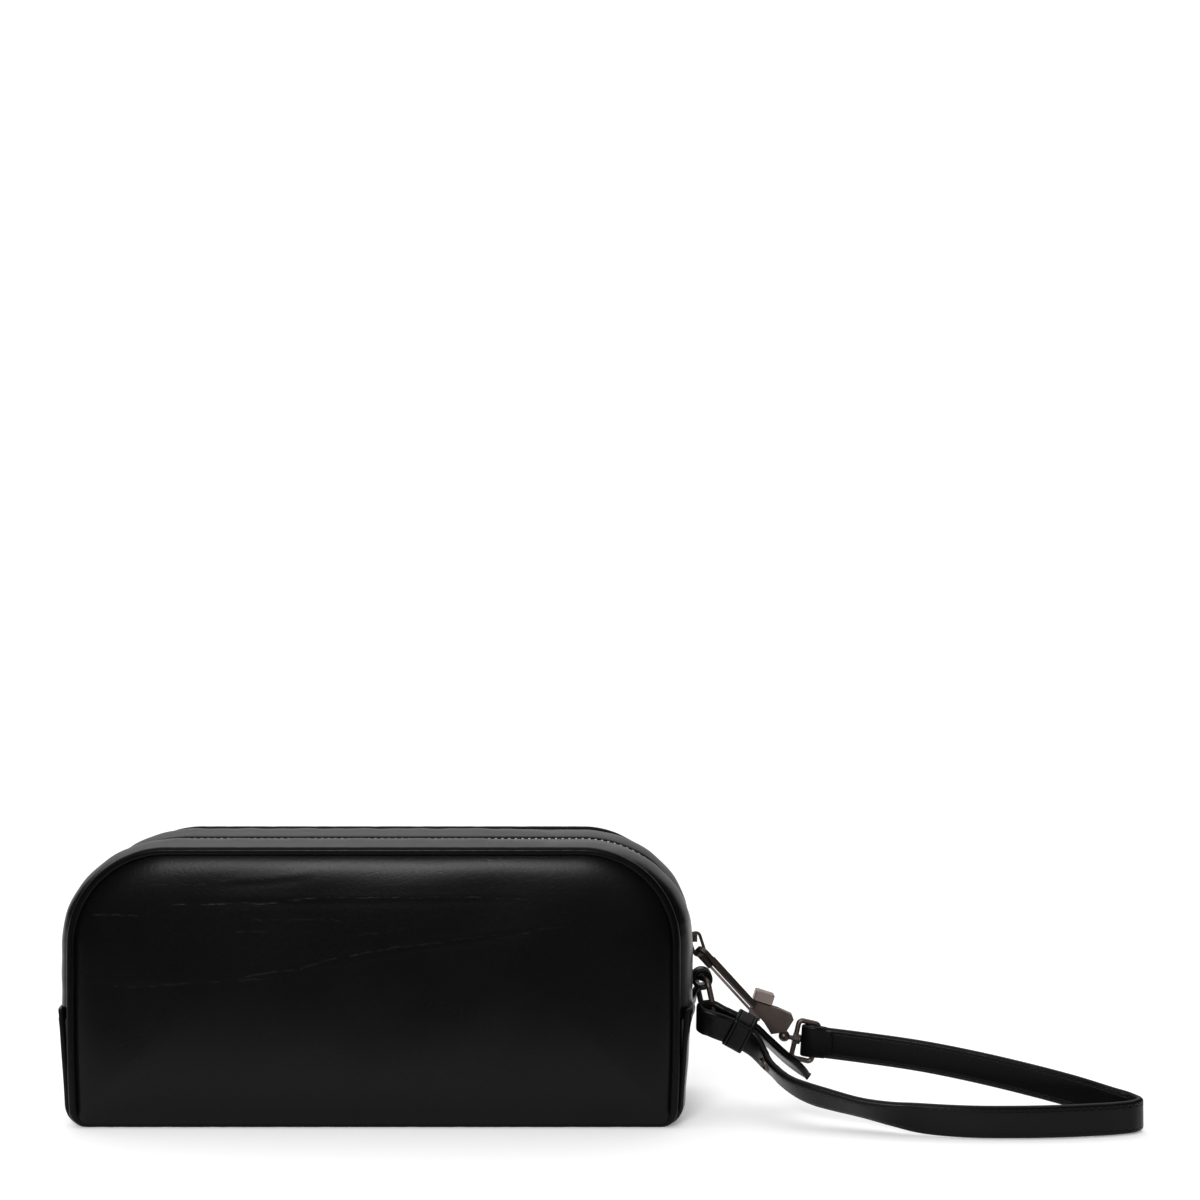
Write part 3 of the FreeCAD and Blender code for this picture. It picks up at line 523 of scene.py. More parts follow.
def zip_path():
    """Points, outward directions and travel from the right foot over the top to the left foot."""
    path, facing = dome_path(0.0, gusset_step)
    first = np.argmax((path[:, 1] > gusset_foot) & (path[:, 0] > 0))
    last = len(path) - np.argmax(((path[:, 1] > gusset_foot) & (path[:, 0] < 0))[::-1])
    return path[first:last], facing[first:last], travel_along(path[first:last])


def swell_at(facing):
    """How far the gusset stands out past the outline: most on the sides, a little inside it on the top."""
    return (gusset_side - half_width) * facing[:, 0] ** 2 - 0.6 * MM * facing[:, 1] ** 2


def on_gusset(path, facing, out, y):
    """Places points out along the outward directions and at y across the bag."""
    x, z = path[:, :1] + facing[:, :1] * out, path[:, 1:] + facing[:, 1:] * out
    return np.stack([x, np.broadcast_to(y, out.shape), z], -1)


gusset_path, gusset_facing, gusset_travel = zip_path()
middle_row = len(gusset_path) // 2
gusset_ends = (("right", 1, slice(0, middle_row + 1)), ("left", -1, slice(middle_row, None)))

# The leather rises from its seam by an exponential, and its crown is higher on the sides and left
# of the right bend.
share = np.linspace(0, 1, 34)[None, :]
gusset_y = seam_y + (zip_edge - seam_y) * share
inside = (gusset_y - seam_y) / (2.6 * MM)
seam_depth = 1.9 * MM
out = (swell_at(gusset_facing)[:, None] + seam_depth) * (1 - np.exp(-inside)) - seam_depth
side_share = gusset_facing[:, :1] ** 2
at_bend = np.clip((gusset_path[:, :1] - 36 * MM) / (34 * MM), 0, 1)
at_bend = at_bend ** 2 * (3 - 2 * at_bend)
crown = (0.5 + 1.3 * side_share + 0.9 * (1 - side_share) * (1 - at_bend)) * MM
out = out + crown * np.sin(np.pi * share ** 1.25) ** 1.4

# Slow waves along the strip and small puckers beside the piping.
along = gusset_travel[:, None]
waves = np.sin(along * 420 + 3 * share) * np.sin(along * 133 + 1.0) * np.sin(np.pi * share)
puckers = np.sin(along * 1130 + 2 * np.sin(along * 170)) * np.exp(-((inside - 1.0) / 0.9) ** 2)
out = out + 0.16 * MM * waves + 0.07 * MM * puckers

# The rolled fold along the zip, and the stitched line beside it.
fold = np.clip((share - 0.965) / 0.035, 0, 1) ** 2
stitched = np.exp(-((gusset_y - (zip_edge - 2.2 * MM)) / (0.45 * MM)) ** 2)
out = out - 0.5 * MM * fold - 0.22 * MM * stitched

strip = on_gusset(gusset_path, gusset_facing, out, gusset_y)
strip_uv = np.stack([np.broadcast_to(along, out.shape), np.broadcast_to(gusset_y, out.shape)], -1)
for side in ("front", "back"):
    for end, sign, rows in gusset_ends:
        surface, uv = facing_out(side, strip[rows], strip_uv[rows])
        piece = grid_mesh(f"{side}_gusset_{end}", surface, uv=uv)
        wall = piece.modifiers.new("thickness", "SOLIDIFY")
        wall.thickness, wall.offset = 1.3 * MM, -1.0
        piece.data.materials.append(black_leather)
        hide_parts(f"{side}_strip_{end}", f"{side}_lip")
        bend_start, bend_end = (sign * mouth_bend_start, 0, 0), (sign * mouth_bend_end, 0, 0)
        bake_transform(piece)

# ---------------------------------------------------------------------------
# Zip tapes and teeth.  A woven tape is sewn under the fold on each side, with
# its cast metal teeth along the edge; the two rows mesh in the middle.


def tape_weave():
    """Black herringbone tape: fine diagonal ribs that change direction from row to row."""
    finish = Finish("zip_tape")
    x, y, _ = finish.axes(finish.place("UV"))
    ribs = ((x + y.math("PINGPONG", 1.1 * MM)) * 9000.0).math("SINE")
    fuzz = finish.noise(2500.0, 2.0)
    finish.feed(
        Base_Color=finish.colour(ribs * 0.3 + fuzz * 0.7, (0.006, 0.006, 0.007), (0.022, 0.022, 0.024)),
        Roughness=fuzz * 0.2 + 0.7,
    )
    finish.relief(ribs * 0.5 + fuzz * 0.4, 0.12 * MM, 0.6)
    return finish.material


def metal(name, dark, light, rough):
    """Cast and tumbled metal: small pits, a cloudy film and light rubbing marks."""
    finish = Finish(name, Metallic=1.0)
    cloud = finish.noise(170.0, 4.0)
    pits = finish.noise(900.0)
    rub = finish.noise(2600.0, 2.0)
    finish.feed(
        Base_Color=finish.colour(cloud, dark, light),
        Roughness=cloud * 0.12 + pits * 0.10 + (rough - 0.10),
    )
    finish.relief(pits * 0.6 + rub * 0.4, 0.02 * MM, 0.35)
    return finish.material


zip_tape_cloth = tape_weave()
zip_metal = metal("zip_metal", (0.22, 0.215, 0.21), (0.42, 0.405, 0.39), 0.30)

tape_depth, tooth_depth = 1.85 * MM, 1.55 * MM
tape_y = np.linspace(-9.0 * MM, -3.0 * MM, 9)[None, :]
tape_out = np.repeat(swell_at(gusset_facing)[:, None] - tape_depth, 9, 1)
tape = on_gusset(gusset_path, gusset_facing, tape_out, tape_y)
tape_uv = np.stack([np.broadcast_to(along, tape_out.shape), np.broadcast_to(tape_y, tape_out.shape)], -1)

# A tooth is a tube across the tape, from the tape's edge to its head: how far across each
# station is, and half its length along the zip and half its height there.
tooth_pitch = 2.6 * MM
tooth_across = np.array([3.15, 3.0, 2.2, 0.7, 0.35, -0.25, -0.55]) * MM
tooth_long = np.array([0.42, 0.864, 0.9, 0.9, 0.744, 0.624, 0.3]) * MM
tooth_high = np.array([0.55, 1.1, 1.21, 1.21, 1.1, 0.99, 0.44]) * MM
tooth_corners = np.radians([25, 65, 115, 155, 205, 245, 295, 335])


def tooth_row(name, rings):
    """One mesh of closed tubes; rings is a (teeth, stations, corners, 3) array.

    The first tooth's faces are repeated for the others, with their point numbers moved on.
    """
    count, stations, corners = rings.shape[:3]
    one = grid_mesh("one_tooth", rings[0], wrap_v=True, caps=True)
    faces = [list(face.vertices) for face in one.data.polygons]
    bpy.data.meshes.remove(one.data)
    offsets = (np.arange(count) * stations * corners)[:, None, None]
    sides = np.array([face for face in faces if len(face) == 4])
    ends = np.array([face for face in faces if len(face) == corners])
    polygons = (sides + offsets).reshape(-1, 4).tolist() + (ends + offsets).reshape(-1, corners).tolist()
    mesh = bpy.data.meshes.new(name)
    mesh.from_pydata(rings.reshape(-1, 3).tolist(), [], polygons)
    row = bpy.data.objects.new(name, mesh)
    bpy.context.collection.objects.link(row)
    return row


for side, y_sign, shift in (("front", -1, 0.25), ("back", 1, 0.75)):
    places = (np.arange(int(gusset_travel[-1] / tooth_pitch)) + shift) * tooth_pitch
    foot = np.stack([np.interp(places, gusset_travel, gusset_path[:, axis]) for axis in (0, 1)], -1)
    facing = np.stack([np.interp(places, gusset_travel, gusset_facing[:, axis]) for axis in (0, 1)], -1)
    facing /= np.linalg.norm(facing, axis=1, keepdims=True)
    heading = np.stack([-facing[:, 1], facing[:, 0]], -1)
    middle = foot + facing * (swell_at(facing) - tooth_depth)[:, None]
    ahead = tooth_long[:, None] * np.cos(tooth_corners)
    upward = tooth_high[:, None] * np.sin(tooth_corners)
    flat = middle[:, None, None, :] + heading[:, None, None, :] * ahead[..., None] \
        + facing[:, None, None, :] * upward[..., None]
    across = np.broadcast_to((y_sign * tooth_across)[None, :, None], flat.shape[:3])
    rings = np.stack([flat[..., 0], across, flat[..., 1]], -1)
    for end, sign, rows in gusset_ends:
        surface, uv = facing_out(side, tape[rows], tape_uv[rows])
        cloth = grid_mesh(f"{side}_zip_tape_{end}", surface, uv=uv)
        wall = cloth.modifiers.new("thickness", "SOLIDIFY")
        wall.thickness, wall.offset = 0.5 * MM, 0.0
        cloth.data.materials.append(zip_tape_cloth)
        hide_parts(f"{side}_tape_{end}", f"{side}_lip_tape")
        teeth = tooth_row(f"{side}_zip_teeth_{end}", rings[foot[:, 0] * sign > 0])
        teeth.data.materials.append(zip_metal)
        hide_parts(f"{side}_teeth_{end}", f"{side}_lip_teeth")
        bend_start, bend_end = (sign * mouth_bend_start, 0, 0), (sign * mouth_bend_end, 0, 0)
        for piece in (cloth, teeth):
            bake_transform(piece)

# ---------------------------------------------------------------------------
# Base gusset.  A doubled strip of leather under the bag and up both sides.  Its
# upper edges are folded over the feet of the zip gusset, and it swells a little
# between its seams; a stiff board lies inside it.

base_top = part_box("base_gusset")[1][2]
base_half = 33.3 * MM


def round_the_foot(side_x, side_z, bend_radius, turn, floor_x):
    """A path down the right side, round the bend, along the floor, and the same mirrored to the left.

    The bend is a quarter circle from the side's last point; the floor run is level, and ends at x = 0.
    """
    bend_x = side_x[-1] - bend_radius * (1 - np.cos(turn))
    bend_z = side_z[-1] - bend_radius * np.sin(turn)
    half_x = np.concatenate([side_x, bend_x, floor_x])
    half_z = np.concatenate([side_z, bend_z, np.full(len(floor_x), bend_z[-1])])
    x, z = np.concatenate([half_x, -half_x[-2::-1]]), np.concatenate([half_z, half_z[-2::-1]])
    return np.stack([x, z], -1)


def left_of(path):
    """Unit vectors at right angles to the path, on its left."""
    heading = np.gradient(path, axis=0)
    heading /= np.linalg.norm(heading, axis=1, keepdims=True)
    return np.stack([-heading[:, 1], heading[:, 0]], -1)


side_z = np.linspace(base_top, 9 * MM, 28)
side_x = 115.4 * MM + 3.0 * MM * (side_z / base_top) ** 1.1
foot_bend = 8.4 * MM
floor_start = side_x[-1] - foot_bend
floor_x = np.linspace(floor_start, 0, int(floor_start / gusset_step))[1:]
base_path = round_the_foot(side_x, side_z, foot_bend, np.linspace(0, np.pi / 2, 12)[1:], floor_x)
base_facing, base_travel = left_of(base_path), travel_along(base_path)

# The seams pull the edges in on the sides, and the middle stands a little proud.
share = np.linspace(-1, 1, 61)[None, :]
side_share = base_facing[:, :1] ** 2
edge = (1 - np.abs(share)) * base_half
belly = 1 - np.exp(-edge / (3.0 * MM))
out = (0.9 * MM * side_share - 0.2 * MM) * (1 - share ** 2) - 1.2 * MM * (1 - belly) * side_share

# A pressed line and a low ridge run across each end, bowed at the edges, with slow waves below.
from_end = np.minimum(base_travel, base_travel[-1] - base_travel)[:, None]
bow = 1 - 0.35 * share ** 2
pressed = np.exp(-((from_end - 3.6 * MM * bow) / (0.8 * MM)) ** 2)
ridge = np.exp(-((from_end - 6.2 * MM * bow) / (1.6 * MM)) ** 2)
waves = np.sin(base_travel[:, None] * 300 + 2 * share) * np.sin(3.5 * share + 1)
out = out + (0.30 * MM * ridge + 0.12 * MM * waves - 0.55 * MM * pressed) * side_share * belly

# On the right it bulges over the foot of the ring tab.
base_y = base_half * share
over_tab = np.exp(-((base_y + 2 * MM) / (9 * MM)) ** 2) * np.exp(-(from_end / (11 * MM)) ** 2)
out = out + 2.4 * MM * over_tab * (base_path[:, :1] > 0)

strip = on_gusset(base_path, base_facing, out, base_y)
uv = np.stack([np.broadcast_to(base_travel[:, None], out.shape), np.broadcast_to(base_y, out.shape)], -1)
base = grid_mesh("base_gusset_leather", strip, uv=uv)
wall = base.modifiers.new("thickness", "SOLIDIFY")
wall.thickness, wall.offset = 2.0 * MM, -1.0
rim = base.modifiers.new("folded edge", "BEVEL")
rim.width, rim.segments, rim.limit_method, rim.angle_limit = 0.7 * MM, 3, "ANGLE", np.radians(50)
base.data.materials.append(black_leather)
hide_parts("base_gusset")
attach(base, "bag")

# ---------------------------------------------------------------------------
# Lining.  A dark twill cloth covers the panels and the gusset inside, with one
# slip pocket at the back; it hangs a little slack between its seams.


def twill(name, dark, light):
    """Woven cloth: diagonal ribs with uneven threads."""
    finish = Finish(name)
    x, y, z = finish.axes(finish.place())
    ribs = ((x + z + y) * 5200.0).math("SINE")
    threads = ((x - z - y) * 7900.0).math("SINE")
    slub = finish.noise(260.0, 4.0)
    finish.feed(
        Base_Color=finish.colour(ribs * 0.25 + threads * 0.1 + slub * 0.65, dark, light),
        Roughness=slub * 0.15 + 0.78,
    )
    finish.relief(ribs * 0.5 + threads * 0.3 + slub * 0.5, 0.15 * MM, 0.6)
    return finish.material


lining_cloth = twill("lining_cloth", (0.020, 0.020, 0.022), (0.052, 0.051, 0.054))


def sheet_piece(name, surface, thick, finish, node):
    """A cloth or board of even thickness, fixed in the bag in place of a CAD node."""
    piece = grid_mesh(name, surface)
    wall = piece.modifiers.new("thickness", "SOLIDIFY")
    wall.thickness, wall.offset = thick, 0.0
    piece.data.materials.append(finish)
    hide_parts(node)
    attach(piece, "bag")


lining_inset, cloth_thick = 3.4 * MM, 0.7 * MM
for side, sign in (("front", 1), ("back", -1)):
    low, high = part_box(f"{side}_lining")
    x, z = dome_grid(lining_inset, 70, 120)
    slack = np.clip(dome_distance(x, z, lining_inset) / (14 * MM), 0, 1)
    waves = 0.35 * MM * slack * (np.sin(x * 95 + 1) * np.sin(z * 70 + 0.5) + 0.5 * np.sin(x * 210 - z * 130))
    y = (low[1] + high[1]) / 2 + sign * (waves + 0.3 * MM * slack)
    surface = np.stack([x, y, z], -1)
    surface = surface[:, ::-1] if side == "front" else surface
    sheet_piece(f"{side}_cloth", surface, cloth_thick, lining_cloth, f"{side}_lining")

(_, _, low_z), (high_x, high_y, high_z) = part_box("gusset_lining")
side_z = np.linspace(high_z, low_z + 7 * MM, 18)
side_x = np.full(18, high_x - 0.4 * MM)
floor_x = np.linspace(high_x - 7 * MM, 0, 50)[1:]
cloth_path = round_the_foot(side_x, side_z, 6.6 * MM, np.linspace(0, np.pi / 2, 9)[1:], floor_x)
cloth_travel = travel_along(cloth_path)[:, None]
share = np.linspace(-1, 1, 33)[None, :]
lift = 0.25 * MM * (1 - share ** 2) * (1 + np.sin(cloth_travel * 130) * np.sin(share * 4))
surface = on_gusset(cloth_path, -left_of(cloth_path), lift, (high_y - 0.3 * MM) * share)
sheet_piece("gusset_cloth", surface[:, ::-1], cloth_thick, lining_cloth, "gusset_lining")

low, high = (np.array(corner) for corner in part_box("slip_pocket"))
x = np.linspace(low[0], high[0], 80)[None, :]
z = np.linspace(low[2], high[2], 46)[:, None]
across, up = (x - low[0]) / (high[0] - low[0]), (z - low[2]) / (high[2] - low[2])
gape = 1.6 * MM * np.sin(np.pi * across) ** 0.7 * up ** 2
above_stitch = up - 0.86
hem = 0.35 * MM / (1 + np.exp(-above_stitch * 90)) - 0.3 * MM * np.exp(-(above_stitch * 60) ** 2)
waves = 0.2 * MM * np.sin(x * 120 + z * 60) * np.sin(np.pi * across)
y = (low[1] + high[1]) / 2 - gape - hem + waves
surface = np.stack([np.broadcast_to(x, y.shape), y, np.broadcast_to(z, y.shape)], -1)
sheet_piece("pocket_cloth", surface[:, ::-1], 1.1 * MM, lining_cloth, "slip_pocket")

low, high = (np.array(corner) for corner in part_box("base_board"))
board_finish = Finish("stiffener")
fibre = board_finish.noise(700.0, 5.0)
board_finish.feed(
    Base_Color=board_finish.colour(fibre, (0.10, 0.085, 0.065), (0.20, 0.17, 0.13)),
    Roughness=fibre * 0.2 + 0.75,
)
board_finish.relief(fibre, 0.1 * MM, 0.5)
x = np.linspace(low[0], high[0], 90)[None, :]
y = np.linspace(low[1], high[1], 30)[:, None]
dip = 0.12 * MM * np.sin(x * 40) * np.sin(y * 90)
z = (low[2] + high[2]) / 2 + dip
surface = np.stack([np.broadcast_to(x, z.shape), np.broadcast_to(y, z.shape), z], -1)
board_thick = high[2] - low[2] - 0.3 * MM
sheet_piece("base_board_sheet", surface[::-1], board_thick, board_finish.material, "base_board")

# ---------------------------------------------------------------------------
# Zip slider, end stops, snap hook and wires.  The castings have rounded edges and
# the wires are bent round; all are plated in the same dark nickel but the stops,
# and the thumb block of the hook, which has a lighter copy of the nickel as a painted highlight.

nickel = metal("nickel", (0.066, 0.051, 0.045), (0.117, 0.093, 0.084), 0.42)
# A lighter copy of the nickel for the thumb block: a painted highlight.
highlight_nickel = metal("highlight_nickel", (0.21, 0.168, 0.150), (0.34, 0.278, 0.253), 0.38)


def softened(node, width):
    """A copy of a CAD node with its corners merged and its edges rounded off over the given width."""
    source = bpy.data.objects[node]
    mesh = source.data.copy()
    shape = bmesh.new()
    shape.from_mesh(mesh)
    bmesh.ops.remove_doubles(shape, verts=shape.verts, dist=1e-6)
    bmesh.ops.dissolve_limit(shape, angle_limit=np.radians(1), verts=shape.verts, edges=shape.edges)
    inner = [edge for edge in shape.edges if len(edge.link_faces) == 2]
    sharp = [edge for edge in inner if edge.calc_face_angle() > np.radians(28)]
    bmesh.ops.bevel(
        shape, geom=sharp, offset=width, segments=3, profile=0.5, affect="EDGES", clamp_overlap=True,
    )
    for face in shape.faces:
        face.smooth = True
    shape.to_mesh(mesh)
    shape.free()
    piece = bpy.data.objects.new(f"{node}_cast", mesh)
    piece.matrix_world = source.matrix_world.copy()
    bpy.context.collection.objects.link(piece)
    smooth = piece.modifiers.new("even shading", "WEIGHTED_NORMAL")
    smooth.keep_sharp = False
    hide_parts(node)
    return piece


for node, width, body, finish, slot in (
    ("zip_slider", 0.25 * MM, "slider", nickel, "nickel"),
    ("zip_end_stops", 0.15 * MM, "bag", zip_metal, "zip_metal"),
    ("snap_hook", 0.5 * MM, "hook", nickel, "nickel"),
    ("thumb_slide", 0.45 * MM, "thumb", highlight_nickel, "nickel"),
    ("swivel_washer", 0.2 * MM, "hook", nickel, "nickel"),
):
    piece = softened(node, width)
    piece.data.materials.clear()
    piece.data.materials.append(finish)
    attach(piece, body)

for node in ("puller_link", "swivel_pin", "strap_loop", "strap_ring"):
    wire = bpy.data.objects[node]
    wire.data.materials.clear()
    wire.data.materials.append(nickel)

# ---------------------------------------------------------------------------
# Ring tab.  A short strip of the same leather, rolled round the ring's bar and
# sewn down on the bag's right side with its tail.


def spline(points, step):
    """Evenly spaced points on a smooth curve through the given ones, and the travel to each.

    Each span is a cubic whose ends follow the chord of the neighbouring points.  The first three
    columns are the place; further columns are carried along.
    """
    knots = travel_along(points[:, :3])
    slope = np.gradient(points, knots, axis=0)
    fine = np.linspace(0, knots[-1], int(knots[-1] / step) * 4)
    span = np.clip(np.searchsorted(knots, fine, side="right") - 1, 0, len(knots) - 2)
    length = (knots[span + 1] - knots[span])[:, None]
    t = (fine - knots[span])[:, None] / length
    curve = (2 * t ** 3 - 3 * t ** 2 + 1) * points[span] + (3 * t ** 2 - 2 * t ** 3) * points[span + 1]
    curve += (t ** 3 - 2 * t ** 2 + t) * length * slope[span] + (t ** 3 - t ** 2) * length * slope[span + 1]
    travel = travel_along(curve[:, :3])
    even = np.linspace(0, travel[-1], int(travel[-1] / step) + 1)
    return np.stack([np.interp(even, travel, curve[:, axis]) for axis in range(points.shape[1])], -1), even


def band(name, path, across, width, thick, travel, closed=False):
    """A strip of leather with rounded edges along a path; across gives its width direction.

    The section is two flat faces joined by half circles as wide as the strip is thick.  width is
    one number, or one for each point.  The UV map holds the travel and the place across, in metres.
    """
    heading = np.roll(path, -1, 0) - np.roll(path, 1, 0) if closed else np.gradient(path, axis=0)
    heading /= np.linalg.norm(heading, axis=1, keepdims=True)
    across = across - heading * (across * heading).sum(1, keepdims=True)
    across /= np.linalg.norm(across, axis=1, keepdims=True)
    facing = np.cross(across, heading)
    half = np.broadcast_to(width, len(path))[:, None] / 2
    turn = np.linspace(-np.pi / 2, np.pi / 2, 7)
    flat = np.linspace(1, -1, 13)[1:-1]
    rounded, level = half - thick / 2 * (1 - np.cos(turn)), (half - thick / 2) * flat
    w = np.hstack([rounded, level, -rounded, -level])
    n = np.concatenate([np.sin(turn), np.ones(len(flat)), -np.sin(turn), -np.ones(len(flat))]) * thick / 2
    points = path[:, None, :] + across[:, None, :] * w[..., None] + facing[:, None, :] * n[:, None]
    uv = np.stack([np.broadcast_to(travel[:, None], w.shape), w], -1)
    return grid_mesh(name, points, wrap_u=closed, wrap_v=True, uv=uv, caps=not closed)


# The roll is a spiral round the bar, in the plane of x and z, that winds out by one thickness
# and then keeps its radius; its tail runs down between the two gussets.
tab_y = (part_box("ring_tab")[0][1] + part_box("ring_tab")[1][1]) / 2
tab_wide, tab_thick = 7.8 * MM, 1.35 * MM
roll_middle = np.array([123.3, 49.8]) * MM
roll_turn = np.radians(np.linspace(140, -470, 62))
roll_reach = np.minimum(1.95 + np.linspace(0, 2.625, 62), 3.45) * MM
roll = roll_middle + roll_reach[:, None] * np.stack([np.cos(roll_turn), np.sin(roll_turn)], -1)
tail = np.array([(120.4, 44.4), (119.5, 42.6), (119.3, 39.4)]) * MM
tab_x, tab_z = np.vstack([roll, tail]).T
tab_route, tab_travel = spline(np.stack([tab_x, np.full(len(tab_x), tab_y), tab_z], -1), 0.4 * MM)
tab_across = np.tile([0.0, 1.0, 0.0], (len(tab_route), 1))
tab = band("ring_tab_leather", tab_route, tab_across, tab_wide, tab_thick, tab_travel)
tab.data.materials.append(leather("tab_leather", grain=1.2))
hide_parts("ring_tab")
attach(tab, "bag")

# ---------------------------------------------------------------------------
# Wrist strap.  Two layers of calf sewn along both edges.  One end is sewn round
# the loop of the snap hook; the strap lies on its edge in a long bend, climbs
# to the ring, turns back round it and ends in a loose point past the keeper.

# Each row is a place in millimetres and how many degrees the upper edge leans towards the front.
strap_route = np.array([
    (171.0, -3.0, 25.0, 0), (184.0, -6.3, 24.0, 0), (208.0, -12.9, 21.8, 0), (222.0, -16.8, 19.8, 1),
    (243.0, -23.0, 16.1, 3), (262.0, -28.4, 12.0, 4), (274.0, -31.6, 8.8, 3), (281.0, -34.4, 7.2, 0),
    (283.2, -37.8, 6.6, 0), (280.6, -41.2, 6.4, 0), (274.0, -44.0, 6.3, 0), (262.0, -46.8, 6.3, 0),
    (236.0, -49.6, 6.3, 2), (214.0, -48.6, 6.4, 6), (201.0, -46.0, 6.8, 16), (190.0, -42.8, 7.7, 36),
    (180.0, -39.2, 9.0, 46), (170.0, -35.6, 10.8, 43), (162.4, -32.6, 12.4, 41), (156.0, -28.6, 14.4, 43),
    (151.0, -23.6, 17.4, 39), (146.7, -17.4, 21.6, 32), (142.0, -13.9, 26.9, 30), (137.4, -12.9, 30.1, 28),
    (131.5, -12.4, 32.4, 28), (126.0, -12.2, 34.4, 28), (123.2, -11.4, 35.3, 20), (122.2, -9.7, 36.2, 0),
    (123.2, -7.9, 37.0, -20), (126.0, -7.0, 37.3, -28), (131.5, -7.8, 35.0, -28), (137.6, -9.0, 32.2, -28),
    (142.4, -9.3, 30.4, -50), (146.0, -9.2, 28.6, -70), (149.4, -9.0, 26.0, -77), (153.8, -8.7, 22.0, -77),
    (159.0, -8.4, 17.6, -71), (164.2, -8.0, 13.0, -66),
])
curve, strap_travel = spline(strap_route * np.array([MM, MM, MM, 1.0]), 0.8 * MM)
strap_path, lean = curve[:, :3], np.radians(curve[:, 3:])
strap_heading = np.gradient(strap_path, axis=0)
strap_heading /= np.linalg.norm(strap_heading, axis=1, keepdims=True)
upright = np.array([0.0, 0.0, 1.0]) - strap_heading * strap_heading[:, 2:]
upright /= np.linalg.norm(upright, axis=1, keepdims=True)
strap_across = upright * np.cos(lean) + np.cross(upright, strap_heading) * np.sin(lean)
strap_facing = np.cross(strap_across, strap_heading)

# The free end is cut to a point with curved sides.
strap_full, strap_thick = 12 * MM, 2.8 * MM
from_tip = strap_travel[-1] - strap_travel
strap_width = np.maximum(strap_full * np.clip(from_tip / (11 * MM), 0, 1) ** 0.62, 1.6 * MM)


def strap_leather():
    """The calf with a sunken line of stitches along both edges, and across near the sewn end.

    The stitches stand out less from 90 mm on, where the strap lies flat and pressed.
    """
    finish, base = calf("strap_leather")
    u, v, _ = finish.axes(finish.place("UV"))
    edge_line, end_line, stitch_pitch = 4.35 * MM, 2.6 * MM, 3.0 * MM
    off_line = (v.math("ABSOLUTE") - edge_line).math("MAXIMUM", end_line - u).math("ABSOLUTE")
    groove = 1.0 - off_line.between(0.1 * MM, 0.65 * MM)
    thread_line = 1.0 - off_line.between(0.12 * MM, 0.42 * MM)
    on_end = 1.0 - (u - end_line).math("ABSOLUTE").between(0.3 * MM, 0.5 * MM)
    beat = (u * (1.0 - on_end) + v * on_end) * (2 * np.pi / stitch_pitch)
    fade = u.between(90 * MM, 150 * MM, 1.0, 0.30)
    thread = thread_line * beat.math("SINE").between(-0.55, -0.15) * fade
    pores, haze = finish.cells(pore_scale), finish.noise(haze_scale, 2.0)
    height = (pores * 0.5 + haze * 0.35) * 0.14 - groove * fade * 1.1 + thread * 1.1
    finish.relief(height, 0.45 * MM, 0.9)
    inputs = {0: thread, 6: base, 7: (0.0012, 0.0012, 0.0013, 1.0)}
    finish.feed(Base_Color=finish.node("ShaderNodeMix", inputs, output=2, data_type="RGBA"))
    return finish.material


calf_strap = strap_leather()


def station(x, branch):
    """The row of the strap's path where it passes x on the far branch (0) or the near one (1)."""
    turn = np.argmax(strap_path[:, 0])
    rows = np.arange(turn) if branch == 0 else np.arange(turn, np.argmin(strap_path[:, 0]))
    return int(rows[np.argmin(np.abs(strap_path[rows, 0] - x * MM))])


def nearest(x, y, z):
    """The row of the strap's path that passes nearest a place."""
    return int(np.argmin(np.linalg.norm(strap_path - np.array([x, y, z]) * MM, axis=1)))


# The strap runs from the hook to the ring in parts that meet end to end, each listed with two
# bodies of the chain between them but the last, which hangs on the ring.  The turn takes the strap
# from the far branch to the near one.
strap_parts = [
    ("strap_sewn_end", 0, station(180, 0), ("hook", "loop")),
    ("strap_far_1", station(180, 0), station(204, 0), ("link", "hook")),
    ("strap_far_2", station(204, 0), station(255, 0), ("slider", "link")),
    ("strap_turn", station(255, 0), station(240, 1), ("bag", "slider")),
    ("strap_near", station(240, 1), station(158, 1), ("ring", "bag")),
    ("strap_fold", station(158, 1), len(strap_path) - 1, ()),
]
for name, first, last, pair in strap_parts:
    rows = slice(first, last + 1)
    path, across, width, travel = strap_path[rows], strap_across[rows], strap_width[rows], strap_travel[rows]
    part = band(name, path, across, width, strap_thick, travel)
    part.data.materials.append(calf_strap)
    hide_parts("wrist_strap")
    if pair:
        bends_along = np.array([0.0, 1.0, 0.0]) if name == "strap_turn" else np.ones(3)
        bend_start, bend_end = strap_path[last] * bends_along, strap_path[first] * bends_along
        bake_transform(part)
    else:
        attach(part, "ring")

# The sewn end splits round the loop's bar: one layer in front of it, one behind.  Each row is a
# place along the strap and one across its thickness, and the eye has no stitches.
behind, up = strap_heading[0], strap_across[0]
aside = np.cross(up, behind)
eye_rows = np.array([
    (0.0, -0.75), (-2.0, -1.15), (-4.2, -1.8), (-6.6, -1.8), (-8.2, -1.3), (-8.9, 0.0),
    (-8.2, 1.3), (-6.6, 1.8), (-4.2, 1.8), (-2.0, 1.15), (0.0, 0.75),
]) * MM
eye_route, _ = spline(strap_path[0] + eye_rows[:, :1] * behind + eye_rows[:, 1:] * aside, 0.35 * MM)
no_stitches = np.full(len(eye_route), -10 * MM)
eye = band("strap_eye", eye_route, np.tile(up, (len(eye_route), 1)), strap_full, 1.3 * MM, no_stitches)
eye.data.materials.append(calf_strap)
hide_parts("wrist_strap")
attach(eye, "loop")

# ---------------------------------------------------------------------------
# Keeper and rivet.  A narrow leather band holds both layers of the strap
# together behind the ring; beside it a metal rivet goes through the strap.


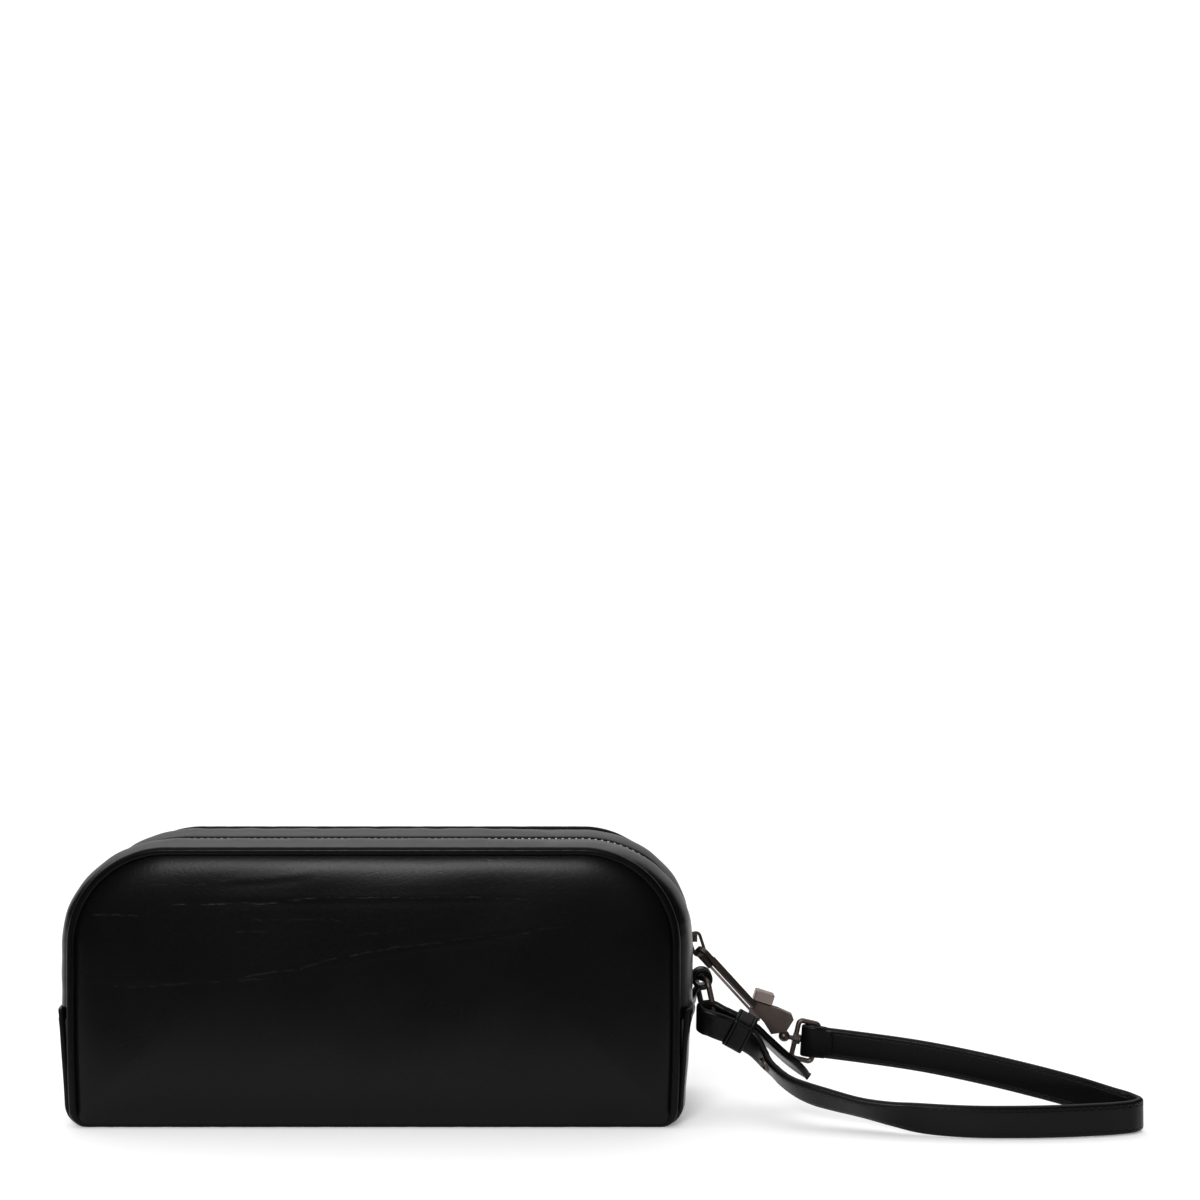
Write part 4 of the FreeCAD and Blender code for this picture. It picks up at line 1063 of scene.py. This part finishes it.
def keeper_leather():
    """The calf with a groove along both edges of the band."""
    finish, _ = calf("keeper_leather")
    _, v, _ = finish.axes(finish.place("UV"))
    off_groove = (v.math("ABSOLUTE") - 2.7 * MM).math("ABSOLUTE").between(0.0, 0.5 * MM)
    finish.relief(off_groove + finish.cells(pore_scale) * 0.1, 0.3 * MM, 0.8)
    return finish.material


# The loop is a rounded oblong, of power 5, round both layers of the strap.
keep_row = nearest(137.4, -12.9, 30.1)
keep_heading, keep_up = -strap_heading[keep_row], strap_across[keep_row]
keep_side = np.cross(keep_up, keep_heading)
keep_middle = np.array([137.6, -10.95, 31.15]) * MM
keep_deep, keep_high, keep_wide, keep_thick = 4.2 * MM, 6.8 * MM, 8.2 * MM, 1.25 * MM
turn = np.linspace(0, 2 * np.pi, 97)[:-1, None]
squared = (np.abs(np.cos(turn)) ** 5 + np.abs(np.sin(turn)) ** 5) ** -0.2
around = keep_deep * np.cos(turn) * keep_side + keep_high * np.sin(turn) * keep_up
keep_route = keep_middle + squared * around
keep_travel = np.linspace(0, 40 * MM, len(keep_route))
keep_across = np.tile(keep_heading, (len(keep_route), 1))
keeper = band("keeper_band", keep_route, keep_across, keep_wide, keep_thick, keep_travel, closed=True)
keeper.data.materials.append(keeper_leather())
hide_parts("strap_keeper")
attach(keeper, "ring")

# The rivet's cap is turned from a profile of radius and height: a ring with a dished middle.
rivet_row = nearest(147.2, -18.2, 21.0)
outward = strap_facing[rivet_row] * -np.sign(strap_facing[rivet_row][1])
profile = np.array([
    (0.05, 0.35), (0.7, 0.35), (1.3, 0.30), (1.55, 0.45), (1.8, 0.75), (2.2, 0.85), (2.6, 0.7),
    (2.8, 0.3), (2.8, -0.3),
]) * MM
turn = np.linspace(0, 2 * np.pi, 49)[:-1, None]
spoke = np.cos(turn) * strap_heading[rivet_row] + np.sin(turn) * strap_across[rivet_row]
seat = strap_path[rivet_row] + outward * strap_thick / 2
cap = seat + profile[:, None, 1:] * outward + profile[:, None, :1] * spoke
rivet = grid_mesh("rivet_cap", cap, wrap_v=True, caps=True)
rivet.data.materials.append(nickel)
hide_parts("strap_rivet")
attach(rivet, "ring")
